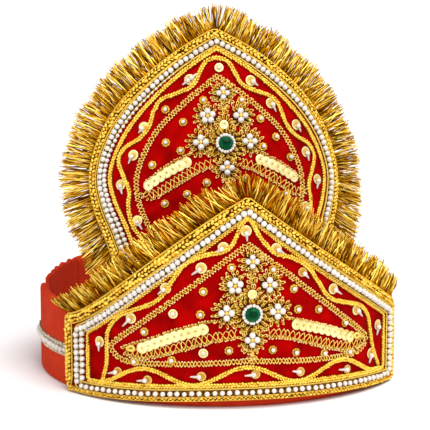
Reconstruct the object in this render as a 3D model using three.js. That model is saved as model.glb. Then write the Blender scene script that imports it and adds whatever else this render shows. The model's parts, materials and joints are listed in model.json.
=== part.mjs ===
// Costume crown: a cloth headband with a pointed front panel wrapped on its outside and a tall
// leaf-shaped rear panel that leans back from the inside of its front wall.
// Millimetres, +Z up. The crown faces -Y, and the head goes in along Z.

import * as THREE from 'three';
import { mergeVertices } from 'three/addons/utils/BufferGeometryUtils.js';

const GAP = 0.3;

// Headband ring. Angles are measured from the front, positive to the wearer's left (+X).
const band = {
  radius: 90,
  wall: 4.5,
  frontHeight: 40.5,
  backHeight: 45,
  fold: 1.6,
  stiffEnd: 98,
  gatherEnd: 127,
  degreesPerStep: 5,
};
const gather = { wall: 2.4, inset: 2.2, top: 43, folds: 9, ripple: 1.1, scallop: 1.5, stepsPerFold: 4 };
const bandTrim = { middle: 17.8, width: 7.4, height: 1.4, edgeHeight: 0.9, flat: 3, end: 96.6 };

// Front panel: heights above the band's lower rim, and each half's own edge along the curve.
const front = { peak: 96.6, bottom: 0.7, bottomArch: 3.5, thickness: 3, columns: 40, rows: 3 };
const frontHalves = {
  left: { sign: -1, edge: 95.4, top: 38, sag: 3.4, archPower: 3 },
  right: { sign: 1, edge: 90.6, top: 40.2, sag: 1.6, archPower: 1.2 },
};

// Rear panel: a curved board. Its foot stands just inside the band's front wall.
const rear = {
  lean: 17.5,
  roll: 0.6,
  curveRadius: 80,
  footX: -4.3,
  footY: -82.9,
  footZ: 4.6,
  thickness: 3,
  columns: 10,
  rows: 17,
  tipHalf: 0.6,
  trimFoot: 12,
  outlineSamples: 200,
};

// Half outline of the rear panel, from its foot to its point.
const rearOutlineRows = [
  { half: 39.4, height: 0 },
  { half: 41.8, height: 17 },
  { half: 46.6, height: 38.5 },
  { half: 53.6, height: 58.5 },
  { half: 60.3, height: 76.5 },
  { half: 65.9, height: 89.5 },
  { half: 68.9, height: 102.8 },
  { half: 67, height: 115 },
  { half: 60, height: 128.4 },
  { half: 48.7, height: 141.2 },
  { half: 32.3, height: 154.3 },
  { half: 17, height: 164.3 },
  { half: 0, height: 173.5 },
];

// Trims of both panels: width across and height above the velvet.
const trims = {
  braid: { width: 4, height: 2.4 },
  pearls: { width: 2.4, height: 2.6 },
  innerCord: { width: 2, height: 1.7 },
  waveCord: { width: 1.9, height: 1.7 },
  chainFrame: { width: 1.9, height: 1.3 },
  strip: { width: 5, height: 1 },
};
const trimStep = 7.4;
const waveStep = 4.4;
const loopJoint = 0.4;
const sharpestMitre = 0.6;
const cordShoulder = { width: 0.72, height: 0.8 };

// Distance from a panel's edge to each trim's middle. The border narrows towards the point.
const frontInsets = {
  braid: { slope: 2.1, point: 2.1, left: 2.1, right: 2.1, bottom: 1.15, bottomWidth: 2.1 },
  pearls: { slope: 6.3, point: 5.7, left: 8.2, right: 6.2, bottom: 3.75, bottomWidth: 2.4 },
  innerCord: { slope: 9.2, point: 8.4, left: 16.7, right: 11.9, bottom: 7.3, bottomWidth: 2 },
};
const rearInsets = {
  braid: { side: 2.1, point: 2.1 },
  pearls: { side: 8.2, point: 5.8 },
  innerCord: { side: 13.4, point: 8.8 },
};
const pointReach = { front: 30, rear: 60 };

// Wave cord on the right half of the front panel, from the point down to the lower corner.
const frontWaveRows = [
  { across: 1.6, up: 82.6 },
  { across: 6.2, up: 77.2 },
  { across: 11.4, up: 72 },
  { across: 20, up: 69 },
  { across: 28, up: 63.6 },
  { across: 33.4, up: 57.4 },
  { across: 40, up: 50.8 },
  { across: 49, up: 46.6 },
  { across: 59.6, up: 42.8 },
  { across: 65.6, up: 37 },
  { across: 67.6, up: 30 },
  { across: 69.5, up: 20.5 },
  { across: 74, up: 11.6 },
];
const frontBottomWave = { period: 48, middle: 5.2, swing: 2.7, end: 72 };

// Wave cord on the right half of the rear panel, from the arch at the point downwards.
const rearWaveRows = [
  { across: 0, up: 158.7 },
  { across: 5, up: 157.1 },
  { across: 8.2, up: 152 },
  { across: 11.6, up: 145.7 },
  { across: 18.4, up: 142.7 },
  { across: 27, up: 139.9 },
  { across: 31, up: 134.5 },
  { across: 33.6, up: 127.5 },
  { across: 38.6, up: 122.3 },
  { across: 46.6, up: 118.7 },
  { across: 50.2, up: 113.1 },
  { across: 48.2, up: 105.9 },
  { across: 45.2, up: 98.1 },
  { across: 46, up: 89.9 },
  { across: 43.8, up: 80.5 },
  { across: 37.4, up: 70.5 },
  { across: 36.6, up: 58.5 },
];

// Chain-stitched frame round the centre field, right half, from the point to the lower middle.
const frontFrameRows = [
  { across: 0, up: 76.4 },
  { across: 15, up: 65 },
  { across: 32.8, up: 51 },
  { across: 49, up: 38.8 },
  { across: 63, up: 28.6 },
  { across: 64.4, up: 25 },
  { across: 60.2, up: 21.4 },
  { across: 52.5, up: 20.2 },
  { across: 30, up: 20.9 },
  { across: 0, up: 22.6 },
];
const rearFrameRows = [
  { across: 0, up: 149.9 },
  { across: 12, up: 140.7 },
  { across: 20.2, up: 133.9 },
  { across: 30, up: 124.9 },
  { across: 36, up: 116 },
  { across: 40, up: 107.5 },
  { across: 41.4, up: 100.5 },
  { across: 40.4, up: 91.5 },
  { across: 36, up: 80.5 },
  { across: 28, up: 71.5 },
  { across: 14, up: 67.1 },
  { across: 0, up: 65.9 },
];

// Medallion: a stone with six pearl flowers round it, the same on both panels.
const medallion = { shift: 2.2, frontUp: 44.2, rearUp: 117.1 };
const flowerRows = [
  { name: 'top', across: 0, up: 24.3, petals: 4 },
  { name: 'upper_left', across: -7.8, up: 13.4, petals: 5 },
  { name: 'upper_right', across: 7.8, up: 13.4, petals: 4 },
  { name: 'left', across: -11.6, up: 0.9, petals: 4 },
  { name: 'right', across: 11.6, up: 0.9, petals: 4 },
  { name: 'bottom', across: 0, up: -11.8, petals: 4 },
];
const flower = { petalRing: 1.9, petalRadius: 1.65, height: 2.4, crown: 0.72, segments: 4 };
const stone = {
  setting: 5.6,
  settingTop: 5.1,
  settingHeight: 1.9,
  radius: 3.7,
  height: 3.6,
  sides: 16,
  domeRings: 3,
};

// Sequin strips: their two ends from the medallion's middle line, on the right half.
const stripRows = {
  steps: 7,
  front: { inner: { across: 19.4, up: 37.9 }, outer: { across: 49.6, up: 27.6 }, bulge: 0.8 },
  rear: { inner: { across: 17, up: 109.2 }, outer: { across: 36, up: 100.2 }, bulge: 0.5 },
};

const fringe = {
  root: 2 * GAP,
  length: 14,
  notch: 0.78,
  rootThickness: 2.2,
  middle: 0.62,
  middleThickness: 3,
  tipThickness: 0.9,
  depth: -1.5,
  lockWidth: 8,
  rearFoot: 64.5,
};

const colours = {
  cotton: { color: 0xc8341c, roughness: 0.9, metalness: 0 },
  velvet: { color: 0xa60008, roughness: 0.95, metalness: 0 },
  gold: { color: 0xd7a523, roughness: 0.4, metalness: 0.8 },
  silver: { color: 0xcfc0a0, roughness: 0.45, metalness: 0.5 },
  pearl: { color: 0xf0ebe4, roughness: 0.25, metalness: 0 },
  sequin: { color: 0xf6e5a0, roughness: 0.3, metalness: 0.7 },
  stone: { color: 0x056b3c, roughness: 0.08, metalness: 0 },
};

const crown = new THREE.Group();

function radians(degrees) {
  return THREE.MathUtils.degToRad(degrees);
}

function addPiece(name, geometry, look) {
  const mesh = new THREE.Mesh(geometry, new THREE.MeshStandardMaterial(colours[look]));
  mesh.name = name;
  crown.add(mesh);
}

// Moves every corner of a closed shape by a rule and joins the corners that coincide.
function bend(geometry, rule) {
  geometry.deleteAttribute('normal');
  geometry.deleteAttribute('uv');
  const corners = geometry.attributes.position;
  const corner = new THREE.Vector3();
  for (let i = 0; i < corners.count; i += 1) {
    corner.fromBufferAttribute(corners, i);
    const moved = rule(corner);
    corners.setXYZ(i, moved.x, moved.y, moved.z);
  }
  geometry.clearGroups();
  const joined = mergeVertices(geometry, 1e-4);
  joined.computeVertexNormals();
  return joined;
}

// A point on the ring at an angle from the front.
function onRing(angle, radius, height) {
  return new THREE.Vector3(radius * Math.sin(angle), -radius * Math.cos(angle), height);
}

// The two panels turn flat coordinates (across, up, out from the velvet) into places in space.
const frontFace = band.radius + GAP + front.thickness;

function onFront(across, up, out) {
  return onRing(across / frontFace, frontFace + out, up);
}

const rearAxes = (() => {
  const lean = radians(rear.lean);
  const roll = radians(rear.roll);
  const plainUp = new THREE.Vector3(0, Math.sin(lean), Math.cos(lean));
  const plainSide = new THREE.Vector3(1, 0, 0);
  const up = plainUp.clone().multiplyScalar(Math.cos(roll)).addScaledVector(plainSide, -Math.sin(roll));
  const side = plainSide.clone().multiplyScalar(Math.cos(roll)).addScaledVector(plainUp, Math.sin(roll));
  const out = new THREE.Vector3(0, -Math.cos(lean), Math.sin(lean));
  return { up, side, out };
})();

function onRear(across, up, out) {
  const turn = across / rear.curveRadius;
  const radius = rear.curveRadius + out;
  return new THREE.Vector3(rear.footX, rear.footY, rear.footZ)
    .addScaledVector(rearAxes.up, up)
    .addScaledVector(rearAxes.side, radius * Math.sin(turn))
    .addScaledVector(rearAxes.out, radius * Math.cos(turn) - rear.curveRadius);
}

// An arc of the band: a wall section carried round the ring, with an optional ripple.
function bandArc(section, from, to, steps, ripple = () => ({ out: 0, up: 0 })) {
  const shape = new THREE.Shape(section);
  const straight = new THREE.ExtrudeGeometry(shape, { depth: 1, steps, bevelEnabled: false });
  return bend(straight, ({ x, y, z }) => {
    const angle = radians(THREE.MathUtils.lerp(to, from, z));
    const extra = ripple(z, y);
    return onRing(angle, x + extra.out, y + extra.up);
  });
}

function wallSection(inner, outer, height, fold) {
  return [
    new THREE.Vector2(inner, 0),
    new THREE.Vector2(outer, 0),
    new THREE.Vector2(outer, height - fold),
    new THREE.Vector2(outer - fold, height),
    new THREE.Vector2(inner + fold, height),
    new THREE.Vector2(inner, height - fold),
  ];
}

function addStiffArcs() {
  const inner = band.radius - band.wall;
  const frontWall = wallSection(inner, band.radius, band.frontHeight, band.fold);
  const backWall = wallSection(inner, band.radius, band.backHeight, band.fold);
  const frontSteps = Math.round((2 * band.stiffEnd) / band.degreesPerStep);
  const backSteps = Math.round((360 - 2 * band.gatherEnd) / band.degreesPerStep);
  addPiece('band_front', bandArc(frontWall, -band.stiffEnd, band.stiffEnd, frontSteps), 'cotton');
  const backArc = bandArc(backWall, band.gatherEnd, 360 - band.gatherEnd, backSteps);
  addPiece('band_back', backArc, 'cotton');
}

// Gathered elastic between the stiff arcs: a thin rippled wall with a scalloped top.
function addGathers() {
  const outer = band.radius - gather.inset;
  const inner = outer - gather.wall;
  const softWall = [
    new THREE.Vector2(inner, 0),
    new THREE.Vector2(outer, 0),
    new THREE.Vector2(outer, gather.top),
    new THREE.Vector2(inner, gather.top),
  ];
  const ripple = (along, height) => {
    const wave = Math.cos(2 * Math.PI * gather.folds * along);
    return { out: gather.ripple * wave, up: height > 0 ? gather.scallop * wave : 0 };
  };
  const joint = THREE.MathUtils.radToDeg(GAP / band.radius);
  const start = band.stiffEnd + joint;
  const end = band.gatherEnd - joint;
  const steps = gather.folds * gather.stepsPerFold;
  addPiece('band_gather_right', bandArc(softWall, start, end, steps, ripple), 'cotton');
  addPiece('band_gather_left', bandArc(softWall, -end, -start, steps, ripple), 'cotton');
}

// Trim along each side of the band, from the front panel's edge to the gathers.
function addBandTrims() {
  const { middle, width, height, edgeHeight, flat } = bandTrim;
  const inner = band.radius + GAP;
  const section = [
    new THREE.Vector2(inner, middle - width / 2),
    new THREE.Vector2(inner + edgeHeight, middle - width / 2),
    new THREE.Vector2(inner + height, middle - flat / 2),
    new THREE.Vector2(inner + height, middle + flat / 2),
    new THREE.Vector2(inner + edgeHeight, middle + width / 2),
    new THREE.Vector2(inner, middle + width / 2),
  ];
  for (const [side, { sign, edge }] of Object.entries(frontHalves)) {
    const panelEnd = THREE.MathUtils.radToDeg((edge + GAP) / frontFace);
    const steps = Math.round((bandTrim.end - panelEnd) / band.degreesPerStep);
    const ends = [sign * panelEnd, sign * bandTrim.end].sort((a, b) => a - b);
    addPiece(`band_trim_${side}`, bandArc(section, ...ends, steps), 'silver');
  }
}

// Front panel outline: its top and bottom edges, each moved inwards by an inset.
function frontHalf(across) {
  return across < 0 ? frontHalves.left : frontHalves.right;
}

function frontTop(across, slopeInset = 0, pointInset = 0) {
  const { edge, top, sag } = frontHalf(across);
  const share = 1 - Math.abs(across) / edge;
  const away = Math.min(Math.abs(across) / pointReach.front, 1);
  const inset = THREE.MathUtils.lerp(pointInset, slopeInset, away);
  const slopeCosine = Math.cos(Math.atan2(front.peak - top, edge));
  const drop = sag * 4 * share * (1 - share) + inset / slopeCosine;
  return THREE.MathUtils.lerp(top, front.peak, share) - drop;
}

function frontBottom(across, inset = 0) {
  const { edge, archPower } = frontHalf(across);
  return front.bottom + front.bottomArch * (1 - (across / edge) ** 2) ** archPower + inset;
}

function evenly(from, to, spacing) {
  const parts = Math.max(1, Math.round(Math.abs(to - from) / spacing));
  return Array.from({ length: parts + 1 }, (_, i) => THREE.MathUtils.lerp(from, to, i / parts));
}

// The loop that a trim follows round the front panel, open by a small joint at the bottom middle.
function frontLoop(measures) {
  const { slope, point, bottom } = measures;
  const [left, right] = ['left', 'right'].map((side) => {
    const { sign } = frontHalves[side];
    const edge = sign * (frontHalves[side].edge - measures[side]);
    const low = evenly(sign * loopJoint, edge, trimStep).map((u) => [u, frontBottom(u, bottom)]);
    const upright = evenly(frontBottom(edge, bottom), frontTop(edge, slope, point), trimStep);
    const high = evenly(edge, 0, trimStep).map((u) => [u, frontTop(u, slope, point)]);
    return [...low, ...upright.slice(1).map((v) => [edge, v]), ...high.slice(1)];
  });
  return [...right, ...left.slice(0, -1).reverse()].map(([u, v]) => new THREE.Vector2(u, v));
}

// A half path from the bottom joint to the middle line, continued by its mirror image.
function mirrored(half) {
  const points = half.map(([u, v]) => new THREE.Vector2(u, v));
  const back = points.slice(0, -1).reverse();
  return [...points, ...back.map((p) => new THREE.Vector2(-p.x, p.y))];
}

const rearHalfCurve = new THREE.SplineCurve(
  rearOutlineRows.map(({ half, height }) => new THREE.Vector2(half, height)),
);
const rearHalfSamples = rearHalfCurve.getSpacedPoints(rear.outlineSamples);

function rearHalfAt(height) {
  const next = rearHalfSamples.findIndex((p) => p.y >= height);
  if (next <= 0) {
    return next === 0 ? rearHalfSamples[0].x : 0;
  }
  const low = rearHalfSamples[next - 1];
  const high = rearHalfSamples[next];
  return THREE.MathUtils.mapLinear(height, low.y, high.y, low.x, high.x);
}

// The rear outline moved inwards by an inset, from the foot's right side over the point to its left.
function rearPath({ side, point }, spacing, foot) {
  const count = Math.round(rearHalfCurve.getLength() / spacing);
  const half = [];
  for (let i = 0; i <= count; i += 1) {
    const spot = rearHalfCurve.getPointAt(i / count);
    const way = rearHalfCurve.getTangentAt(i / count);
    const away = Math.min(spot.x / pointReach.rear, 1);
    const inset = THREE.MathUtils.lerp(point, side, away);
    const moved = new THREE.Vector2(spot.x - way.y * inset, spot.y + way.x * inset);
    if (moved.y >= foot && moved.x > spacing / 2) {
      half.push([moved.x, moved.y]);
    }
  }
  const way = rearHalfCurve.getTangentAt(1);
  half.push([0, rearOutlineRows.at(-1).height + point / way.x]);
  return mirrored(half);
}

// A trim: a section carried along a path on a panel, mitred where the path turns.
// Its width may change along the path.
function layTrim(place, path, section, widthAt = () => 1) {
  const steps = path.length - 1;
  const shape = new THREE.Shape(section);
  const straight = new THREE.ExtrudeGeometry(shape, { depth: steps, steps, bevelEnabled: false });
  const sides = path.map((spot, i) => {
    const before = path[Math.max(i - 1, 0)];
    const after = path[Math.min(i + 1, steps)];
    const here = i > 0 ? spot : after;
    const arriving = new THREE.Vector2().subVectors(here, i > 0 ? before : spot).normalize();
    const there = i < steps ? spot : before;
    const leaving = new THREE.Vector2().subVectors(i < steps ? after : spot, there).normalize();
    const way = arriving.clone().add(leaving).normalize();
    const mitre = 1 / Math.max(way.dot(arriving), sharpestMitre);
    return new THREE.Vector2(-way.y, way.x).multiplyScalar(mitre);
  });
  return bend(straight, ({ x, y, z }) => {
    const i = Math.round(z);
    const spot = path[i].clone().addScaledVector(sides[i], x * widthAt(i));
    return place(spot.x, spot.y, y);
  });
}

function cordSection({ width, height }) {
  const half = width / 2;
  const shoulder = height * cordShoulder.height;
  return [
    new THREE.Vector2(-half, GAP),
    new THREE.Vector2(half, GAP),
    new THREE.Vector2(half * cordShoulder.width, shoulder),
    new THREE.Vector2(0, height),
    new THREE.Vector2(-half * cordShoulder.width, shoulder),
  ];
}

function smoothPath(rows, spacing) {
  const curve = new THREE.SplineCurve(rows.map(({ across, up }) => new THREE.Vector2(across, up)));
  return curve.getSpacedPoints(Math.round(curve.getLength() / spacing));
}

function addPanel(name, place, thickness, columns, rows, spot) {
  const box = new THREE.BoxGeometry(1, 1, 1, columns, rows, 1);
  const geometry = bend(box, ({ x, y, z }) => {
    const { across, up } = spot(x, y + 0.5);
    return place(across, up, (z - 0.5) * thickness);
  });
  addPiece(name, geometry, 'velvet');
}

// Frame stitched round the centre field: down one side, along the bottom and up the other side.
function frameLoop(rows, spacing) {
  const half = smoothPath(rows, spacing).reverse();
  half[0] = new THREE.Vector2(loopJoint, half[0].y);
  return mirrored(half.map((p) => [p.x, p.y]));
}

function addFrontTrims() {
  for (const [name, trim, measures, look] of [
    ['braid', trims.braid, frontInsets.braid, 'gold'],
    ['pearl_border', trims.pearls, frontInsets.pearls, 'pearl'],
    ['inner_cord', trims.innerCord, frontInsets.innerCord, 'gold'],
  ]) {
    const path = frontLoop(measures);
    const onBottom = (i) => Math.abs(path[i].y - frontBottom(path[i].x, measures.bottom)) < 1e-6;
    const widthAt = (i) => (onBottom(i) ? measures.bottomWidth / trim.width : 1);
    addPiece(`front_${name}`, layTrim(onFront, path, cordSection(trim), widthAt), look);
  }
  const rightSide = smoothPath(frontWaveRows, waveStep);
  const leftSide = rightSide.map(({ x, y }) => new THREE.Vector2(-x, y + frontTop(-x) - frontTop(x)));
  const bottomInset = frontInsets.innerCord.bottom;
  const bottomWave = evenly(frontBottomWave.end, -frontBottomWave.end, waveStep).map((u) => {
    const lift = frontBottomWave.swing * Math.cos((2 * Math.PI * u) / frontBottomWave.period);
    return new THREE.Vector2(u, frontBottom(u, bottomInset) + frontBottomWave.middle + lift);
  });
  const wavePath = [...rightSide, ...bottomWave.slice(1, -1), ...leftSide.reverse()];
  addPiece('front_wave_cord', layTrim(onFront, wavePath, cordSection(trims.waveCord)), 'gold');
  const framePath = frameLoop(frontFrameRows, trimStep);
  addPiece('front_chain_frame', layTrim(onFront, framePath, cordSection(trims.chainFrame)), 'gold');
}

function addRearTrims() {
  for (const [name, trim, inset, look] of [
    ['braid', trims.braid, rearInsets.braid, 'gold'],
    ['pearl_border', trims.pearls, rearInsets.pearls, 'pearl'],
    ['inner_cord', trims.innerCord, rearInsets.innerCord, 'gold'],
  ]) {
    const path = rearPath(inset, trimStep, rear.trimFoot);
    addPiece(`rear_${name}`, layTrim(onRear, path, cordSection(trim)), look);
  }
  const halfWave = smoothPath(rearWaveRows, waveStep).reverse();
  const wavePath = mirrored(halfWave.map((p) => [p.x, p.y]));
  addPiece('rear_wave_cord', layTrim(onRear, wavePath, cordSection(trims.waveCord)), 'gold');
  const framePath = frameLoop(rearFrameRows, trimStep);
  addPiece('rear_chain_frame', layTrim(onRear, framePath, cordSection(trims.chainFrame)), 'gold');
}

// A flower: the joint outline of a ring of round petals, drawn in a little towards its top.
function flowerGeometry(place, across, up, petals) {
  const { petalRing, petalRadius, segments, height, crown: narrowTop } = flower;
  const sector = (2 * Math.PI) / petals;
  const outline = Array.from({ length: petals * segments }, (_, i) => {
    const swing = ((i % segments) / segments - 0.5) * sector;
    const lift = Math.sqrt(petalRadius ** 2 - (petalRing * Math.sin(swing)) ** 2);
    const reach = petalRing * Math.cos(swing) + lift;
    const angle = Math.floor(i / segments) * sector + swing + Math.PI / 2;
    return new THREE.Vector2(reach * Math.cos(angle), reach * Math.sin(angle));
  });
  const shape = new THREE.Shape(outline);
  const straight = new THREE.ExtrudeGeometry(shape, { depth: 1, steps: 2, bevelEnabled: false });
  return bend(straight, ({ x, y, z }) => {
    const narrow = z === 1 ? narrowTop : 1;
    return place(across + x * narrow, up + y * narrow, THREE.MathUtils.lerp(GAP, height, z));
  });
}

// A domed stone fused to its round setting.
function stoneGeometry(place, across, up) {
  const dome = new THREE.EllipseCurve(
    0, stone.settingHeight, stone.radius, stone.height - stone.settingHeight, 0, Math.PI / 2,
  );
  const profile = [
    new THREE.Vector2(0, GAP),
    new THREE.Vector2(stone.setting, GAP),
    new THREE.Vector2(stone.settingTop, stone.settingHeight),
    ...dome.getPoints(stone.domeRings).slice(0, -1),
    new THREE.Vector2(0, stone.height),
  ];
  const turned = new THREE.LatheGeometry(profile, stone.sides);
  return bend(turned, ({ x, y, z }) => place(across + z, up + x, y));
}

function addMedallion(panel, place, middleUp) {
  addPiece(`${panel}_stone`, stoneGeometry(place, medallion.shift, middleUp), 'stone');
  for (const { name, across, up, petals } of flowerRows) {
    const geometry = flowerGeometry(place, medallion.shift + across, middleUp + up, petals);
    addPiece(`${panel}_flower_${name}`, geometry, 'pearl');
  }
}

function addStrips(panel, place) {
  const { inner, outer, bulge } = stripRows[panel];
  for (const [side, sign] of [['left', -1], ['right', 1]]) {
    const path = evenly(0, 1, 1 / stripRows.steps).map((share) => {
      const u = medallion.shift + sign * THREE.MathUtils.lerp(inner.across, outer.across, share);
      const v = THREE.MathUtils.lerp(inner.up, outer.up, share) + bulge * 4 * share * (1 - share);
      return new THREE.Vector2(u, v);
    });
    addPiece(`${panel}_strip_${side}`, layTrim(place, path, cordSection(trims.strip)), 'sequin');
  }
}

// Tinsel fringe: tapering locks on one backing strip that follows the panel's edge.
function fringeGeometry(place, path) {
  const { root, length, middle, depth } = fringe;
  const section = [
    new THREE.Vector2(root, depth - fringe.rootThickness / 2),
    new THREE.Vector2(length * middle, depth - fringe.middleThickness / 2),
    new THREE.Vector2(length, depth - fringe.tipThickness / 2),
    new THREE.Vector2(length, depth + fringe.tipThickness / 2),
    new THREE.Vector2(length * middle, depth + fringe.middleThickness / 2),
    new THREE.Vector2(root, depth + fringe.rootThickness / 2),
  ];
  const lockReach = (i) => (i % 2 ? 1 : fringe.notch);
  const straightRoot = (x, i) => (x > root ? lockReach(i) : 1);
  const steps = path.length - 1;
  const shape = new THREE.Shape(section);
  const straight = new THREE.ExtrudeGeometry(shape, { depth: steps, steps, bevelEnabled: false });
  const outwards = path.map((spot, i) => {
    const way = new THREE.Vector2().subVectors(path[Math.min(i + 1, steps)], path[Math.max(i - 1, 0)]);
    way.normalize();
    return new THREE.Vector2(-way.y, way.x);
  });
  return bend(straight, ({ x, y, z }) => {
    const i = Math.round(z);
    const spot = path[i].clone().addScaledVector(outwards[i], x * straightRoot(x, i));
    return place(spot.x, spot.y, y);
  });
}

function addFringes() {
  const halfLock = fringe.lockWidth / 2;
  const { left, right } = frontHalves;
  const overPoint = [...evenly(-left.edge, 0, halfLock), ...evenly(0, right.edge, halfLock).slice(1)];
  const frontPath = overPoint.map((u) => new THREE.Vector2(u, frontTop(u)));
  addPiece('front_fringe', fringeGeometry(onFront, frontPath), 'gold');
  const rearEdge = rearPath({ side: 0, point: 0 }, halfLock, fringe.rearFoot).reverse();
  addPiece('rear_fringe', fringeGeometry(onRear, rearEdge), 'gold');
}

function addPanels() {
  addPanel('front_panel', onFront, front.thickness, front.columns, front.rows, (x, share) => {
    const across = 2 * x * frontHalf(x).edge;
    return { across, up: THREE.MathUtils.lerp(frontBottom(across), frontTop(across), share) };
  });
  addPanel('rear_panel', onRear, rear.thickness, rear.columns, rear.rows, (x, share) => {
    const up = share * rearOutlineRows.at(-1).height;
    return { across: 2 * x * Math.max(rearHalfAt(up), rear.tipHalf), up };
  });
}

addStiffArcs();
addGathers();
addBandTrims();
addPanels();
addFrontTrims();
addRearTrims();
addMedallion('front', onFront, medallion.frontUp);
addMedallion('rear', onRear, medallion.rearUp);
addStrips('front', onFront);
addStrips('rear', onRear);
addFringes();

// The origin is the middle of the crown's footprint, at the band's lower rim.
const extent = new THREE.Box3().setFromObject(crown);
const middle = extent.getCenter(new THREE.Vector3());
crown.position.set(-middle.x, -middle.y, -extent.min.z);

export default crown;
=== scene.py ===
import json
import math

import bpy
import numpy as np
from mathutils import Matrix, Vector


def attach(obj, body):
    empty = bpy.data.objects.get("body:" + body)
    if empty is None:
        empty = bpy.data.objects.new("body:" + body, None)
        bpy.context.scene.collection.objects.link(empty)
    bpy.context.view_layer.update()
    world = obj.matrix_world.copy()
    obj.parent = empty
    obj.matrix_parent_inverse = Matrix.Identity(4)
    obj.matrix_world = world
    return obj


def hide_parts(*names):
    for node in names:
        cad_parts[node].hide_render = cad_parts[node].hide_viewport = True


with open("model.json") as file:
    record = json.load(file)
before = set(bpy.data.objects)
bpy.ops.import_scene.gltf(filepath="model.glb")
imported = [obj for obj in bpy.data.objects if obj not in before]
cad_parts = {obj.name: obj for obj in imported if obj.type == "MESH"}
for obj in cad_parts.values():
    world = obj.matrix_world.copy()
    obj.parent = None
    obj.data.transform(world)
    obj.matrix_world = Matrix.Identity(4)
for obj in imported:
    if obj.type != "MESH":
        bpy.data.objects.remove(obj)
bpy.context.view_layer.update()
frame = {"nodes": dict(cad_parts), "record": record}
mm = 0.001
rng = np.random.default_rng(41)  # one seed for every hand-sewn wobble
ringY = frame["record"]["mounts"][0]["pos_m"][1] / mm  # the rim mount sits level with the ring's middle
print("frame loaded:", len(frame["nodes"]), "nodes")


def addNode(tree, kind, inputs=None, **settings):
    # one node; an input is either a value or the socket that feeds it
    made = tree.nodes.new(kind)
    for key, value in settings.items():
        setattr(made, key, value)
    for key, value in (inputs or {}).items():
        if isinstance(value, bpy.types.NodeSocket):
            tree.links.new(value, made.inputs[key])
        else:
            made.inputs[key].default_value = value
    return made


def calc(tree, operation, first, second=0.0):
    # one sum on two numbers
    return addNode(tree, "ShaderNodeMath", {0: first, 1: second}, operation=operation).outputs[0]


def startGroup(name, ins, out):
    # a shared effect with its named sockets
    group = bpy.data.node_groups.new(name, "ShaderNodeTree")
    for label, value in ins.items():
        kind = "NodeSocketFloat" if isinstance(value, float) else "NodeSocketColor"
        group.interface.new_socket(label, in_out="INPUT", socket_type=kind).default_value = value
    for label, kind in out.items():
        group.interface.new_socket(label, in_out="OUTPUT", socket_type=kind)
    return group, group.nodes.new("NodeGroupInput").outputs, group.nodes.new("NodeGroupOutput").inputs


roughness = {"most": 0.62, "drop": 0.45}  # the most, less the drop times the noise


def patchyGroup():
    # the tone plus soft noise runs from dark through middle to bright; roughness follows the same noise
    shades = {"Bright": (1, 1, 1, 1), "Middle": (1, 1, 1, 1), "Dark": (0, 0, 0, 1)}
    group, ins, outs = startGroup(
        "patchy",
        {**shades, "Tone": 0.5, "Scale": 100.0, "Spread": 1.0},
        {"Colour": "NodeSocketColor", "Rough": "NodeSocketFloat"},
    )
    place = addNode(group, "ShaderNodeTexCoord").outputs["Object"]
    patches = {"Vector": place, "Scale": ins["Scale"], "Detail": 3.0}
    noise = addNode(group, "ShaderNodeTexNoise", patches).outputs[0]
    drift = calc(group, "MULTIPLY", calc(group, "SUBTRACT", noise, 0.5), ins["Spread"])
    double = calc(group, "MULTIPLY", calc(group, "ADD", drift, ins["Tone"]), 2.0)
    colour = ins["Dark"]
    for start, key in ((0.0, "Middle"), (1.0, "Bright")):
        share = addNode(group, "ShaderNodeClamp", {0: calc(group, "SUBTRACT", double, start)}).outputs[0]
        mixed = {0: share, 6: colour, 7: ins[key]}
        colour = addNode(group, "ShaderNodeMix", mixed, data_type="RGBA").outputs[2]
    group.links.new(colour, outs["Colour"])
    lost = calc(group, "MULTIPLY", noise, roughness["drop"])
    group.links.new(calc(group, "SUBTRACT", roughness["most"], lost), outs["Rough"])
    return group


def wrapGroup():
    # slanting ridges from the uv map: half a sine of across times turns plus along times wraps
    group, ins, outs = startGroup("threadWrap", {"Turns": 2.0, "Wraps": 1.0}, {"Height": "NodeSocketFloat"})
    uv = addNode(group, "ShaderNodeTexCoord").outputs["UV"]
    axes = addNode(group, "ShaderNodeSeparateXYZ", {0: uv}).outputs
    shares = [calc(group, "MULTIPLY", axes[k], ins[key]) for k, key in enumerate(("Turns", "Wraps"))]
    wave = calc(group, "SINE", calc(group, "MULTIPLY", calc(group, "ADD", *shares), 2 * math.pi))
    group.links.new(calc(group, "ADD", calc(group, "MULTIPLY", wave, 0.5), 0.5), outs["Height"])
    return group


def clothGroup():
    # plain weave: the product of two sines across and along the uv map, roughened with noise
    group, ins, outs = startGroup("cloth", {"Threads": 1.0, "Fuzz": 0.5}, {"Height": "NodeSocketFloat"})
    coords = addNode(group, "ShaderNodeTexCoord").outputs
    axes = addNode(group, "ShaderNodeSeparateXYZ", {0: coords["UV"]}).outputs
    turns = [calc(group, "MULTIPLY", axes[k], ins["Threads"]) for k in (0, 1)]
    waves = [calc(group, "SINE", calc(group, "MULTIPLY", turn, 2 * math.pi)) for turn in turns]
    grain = {"Vector": coords["Object"], "Scale": 2600.0, "Detail": 2.0}
    fuzz = addNode(group, "ShaderNodeTexNoise", grain).outputs[0]
    weave = calc(group, "MULTIPLY", calc(group, "MULTIPLY", *waves), 0.5)
    height = calc(group, "ADD", weave, calc(group, "MULTIPLY", fuzz, ins["Fuzz"]))
    group.links.new(height, outs["Height"])
    return group


groups = {"patchy": patchyGroup(), "wrap": wrapGroup(), "cloth": clothGroup()}


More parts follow.
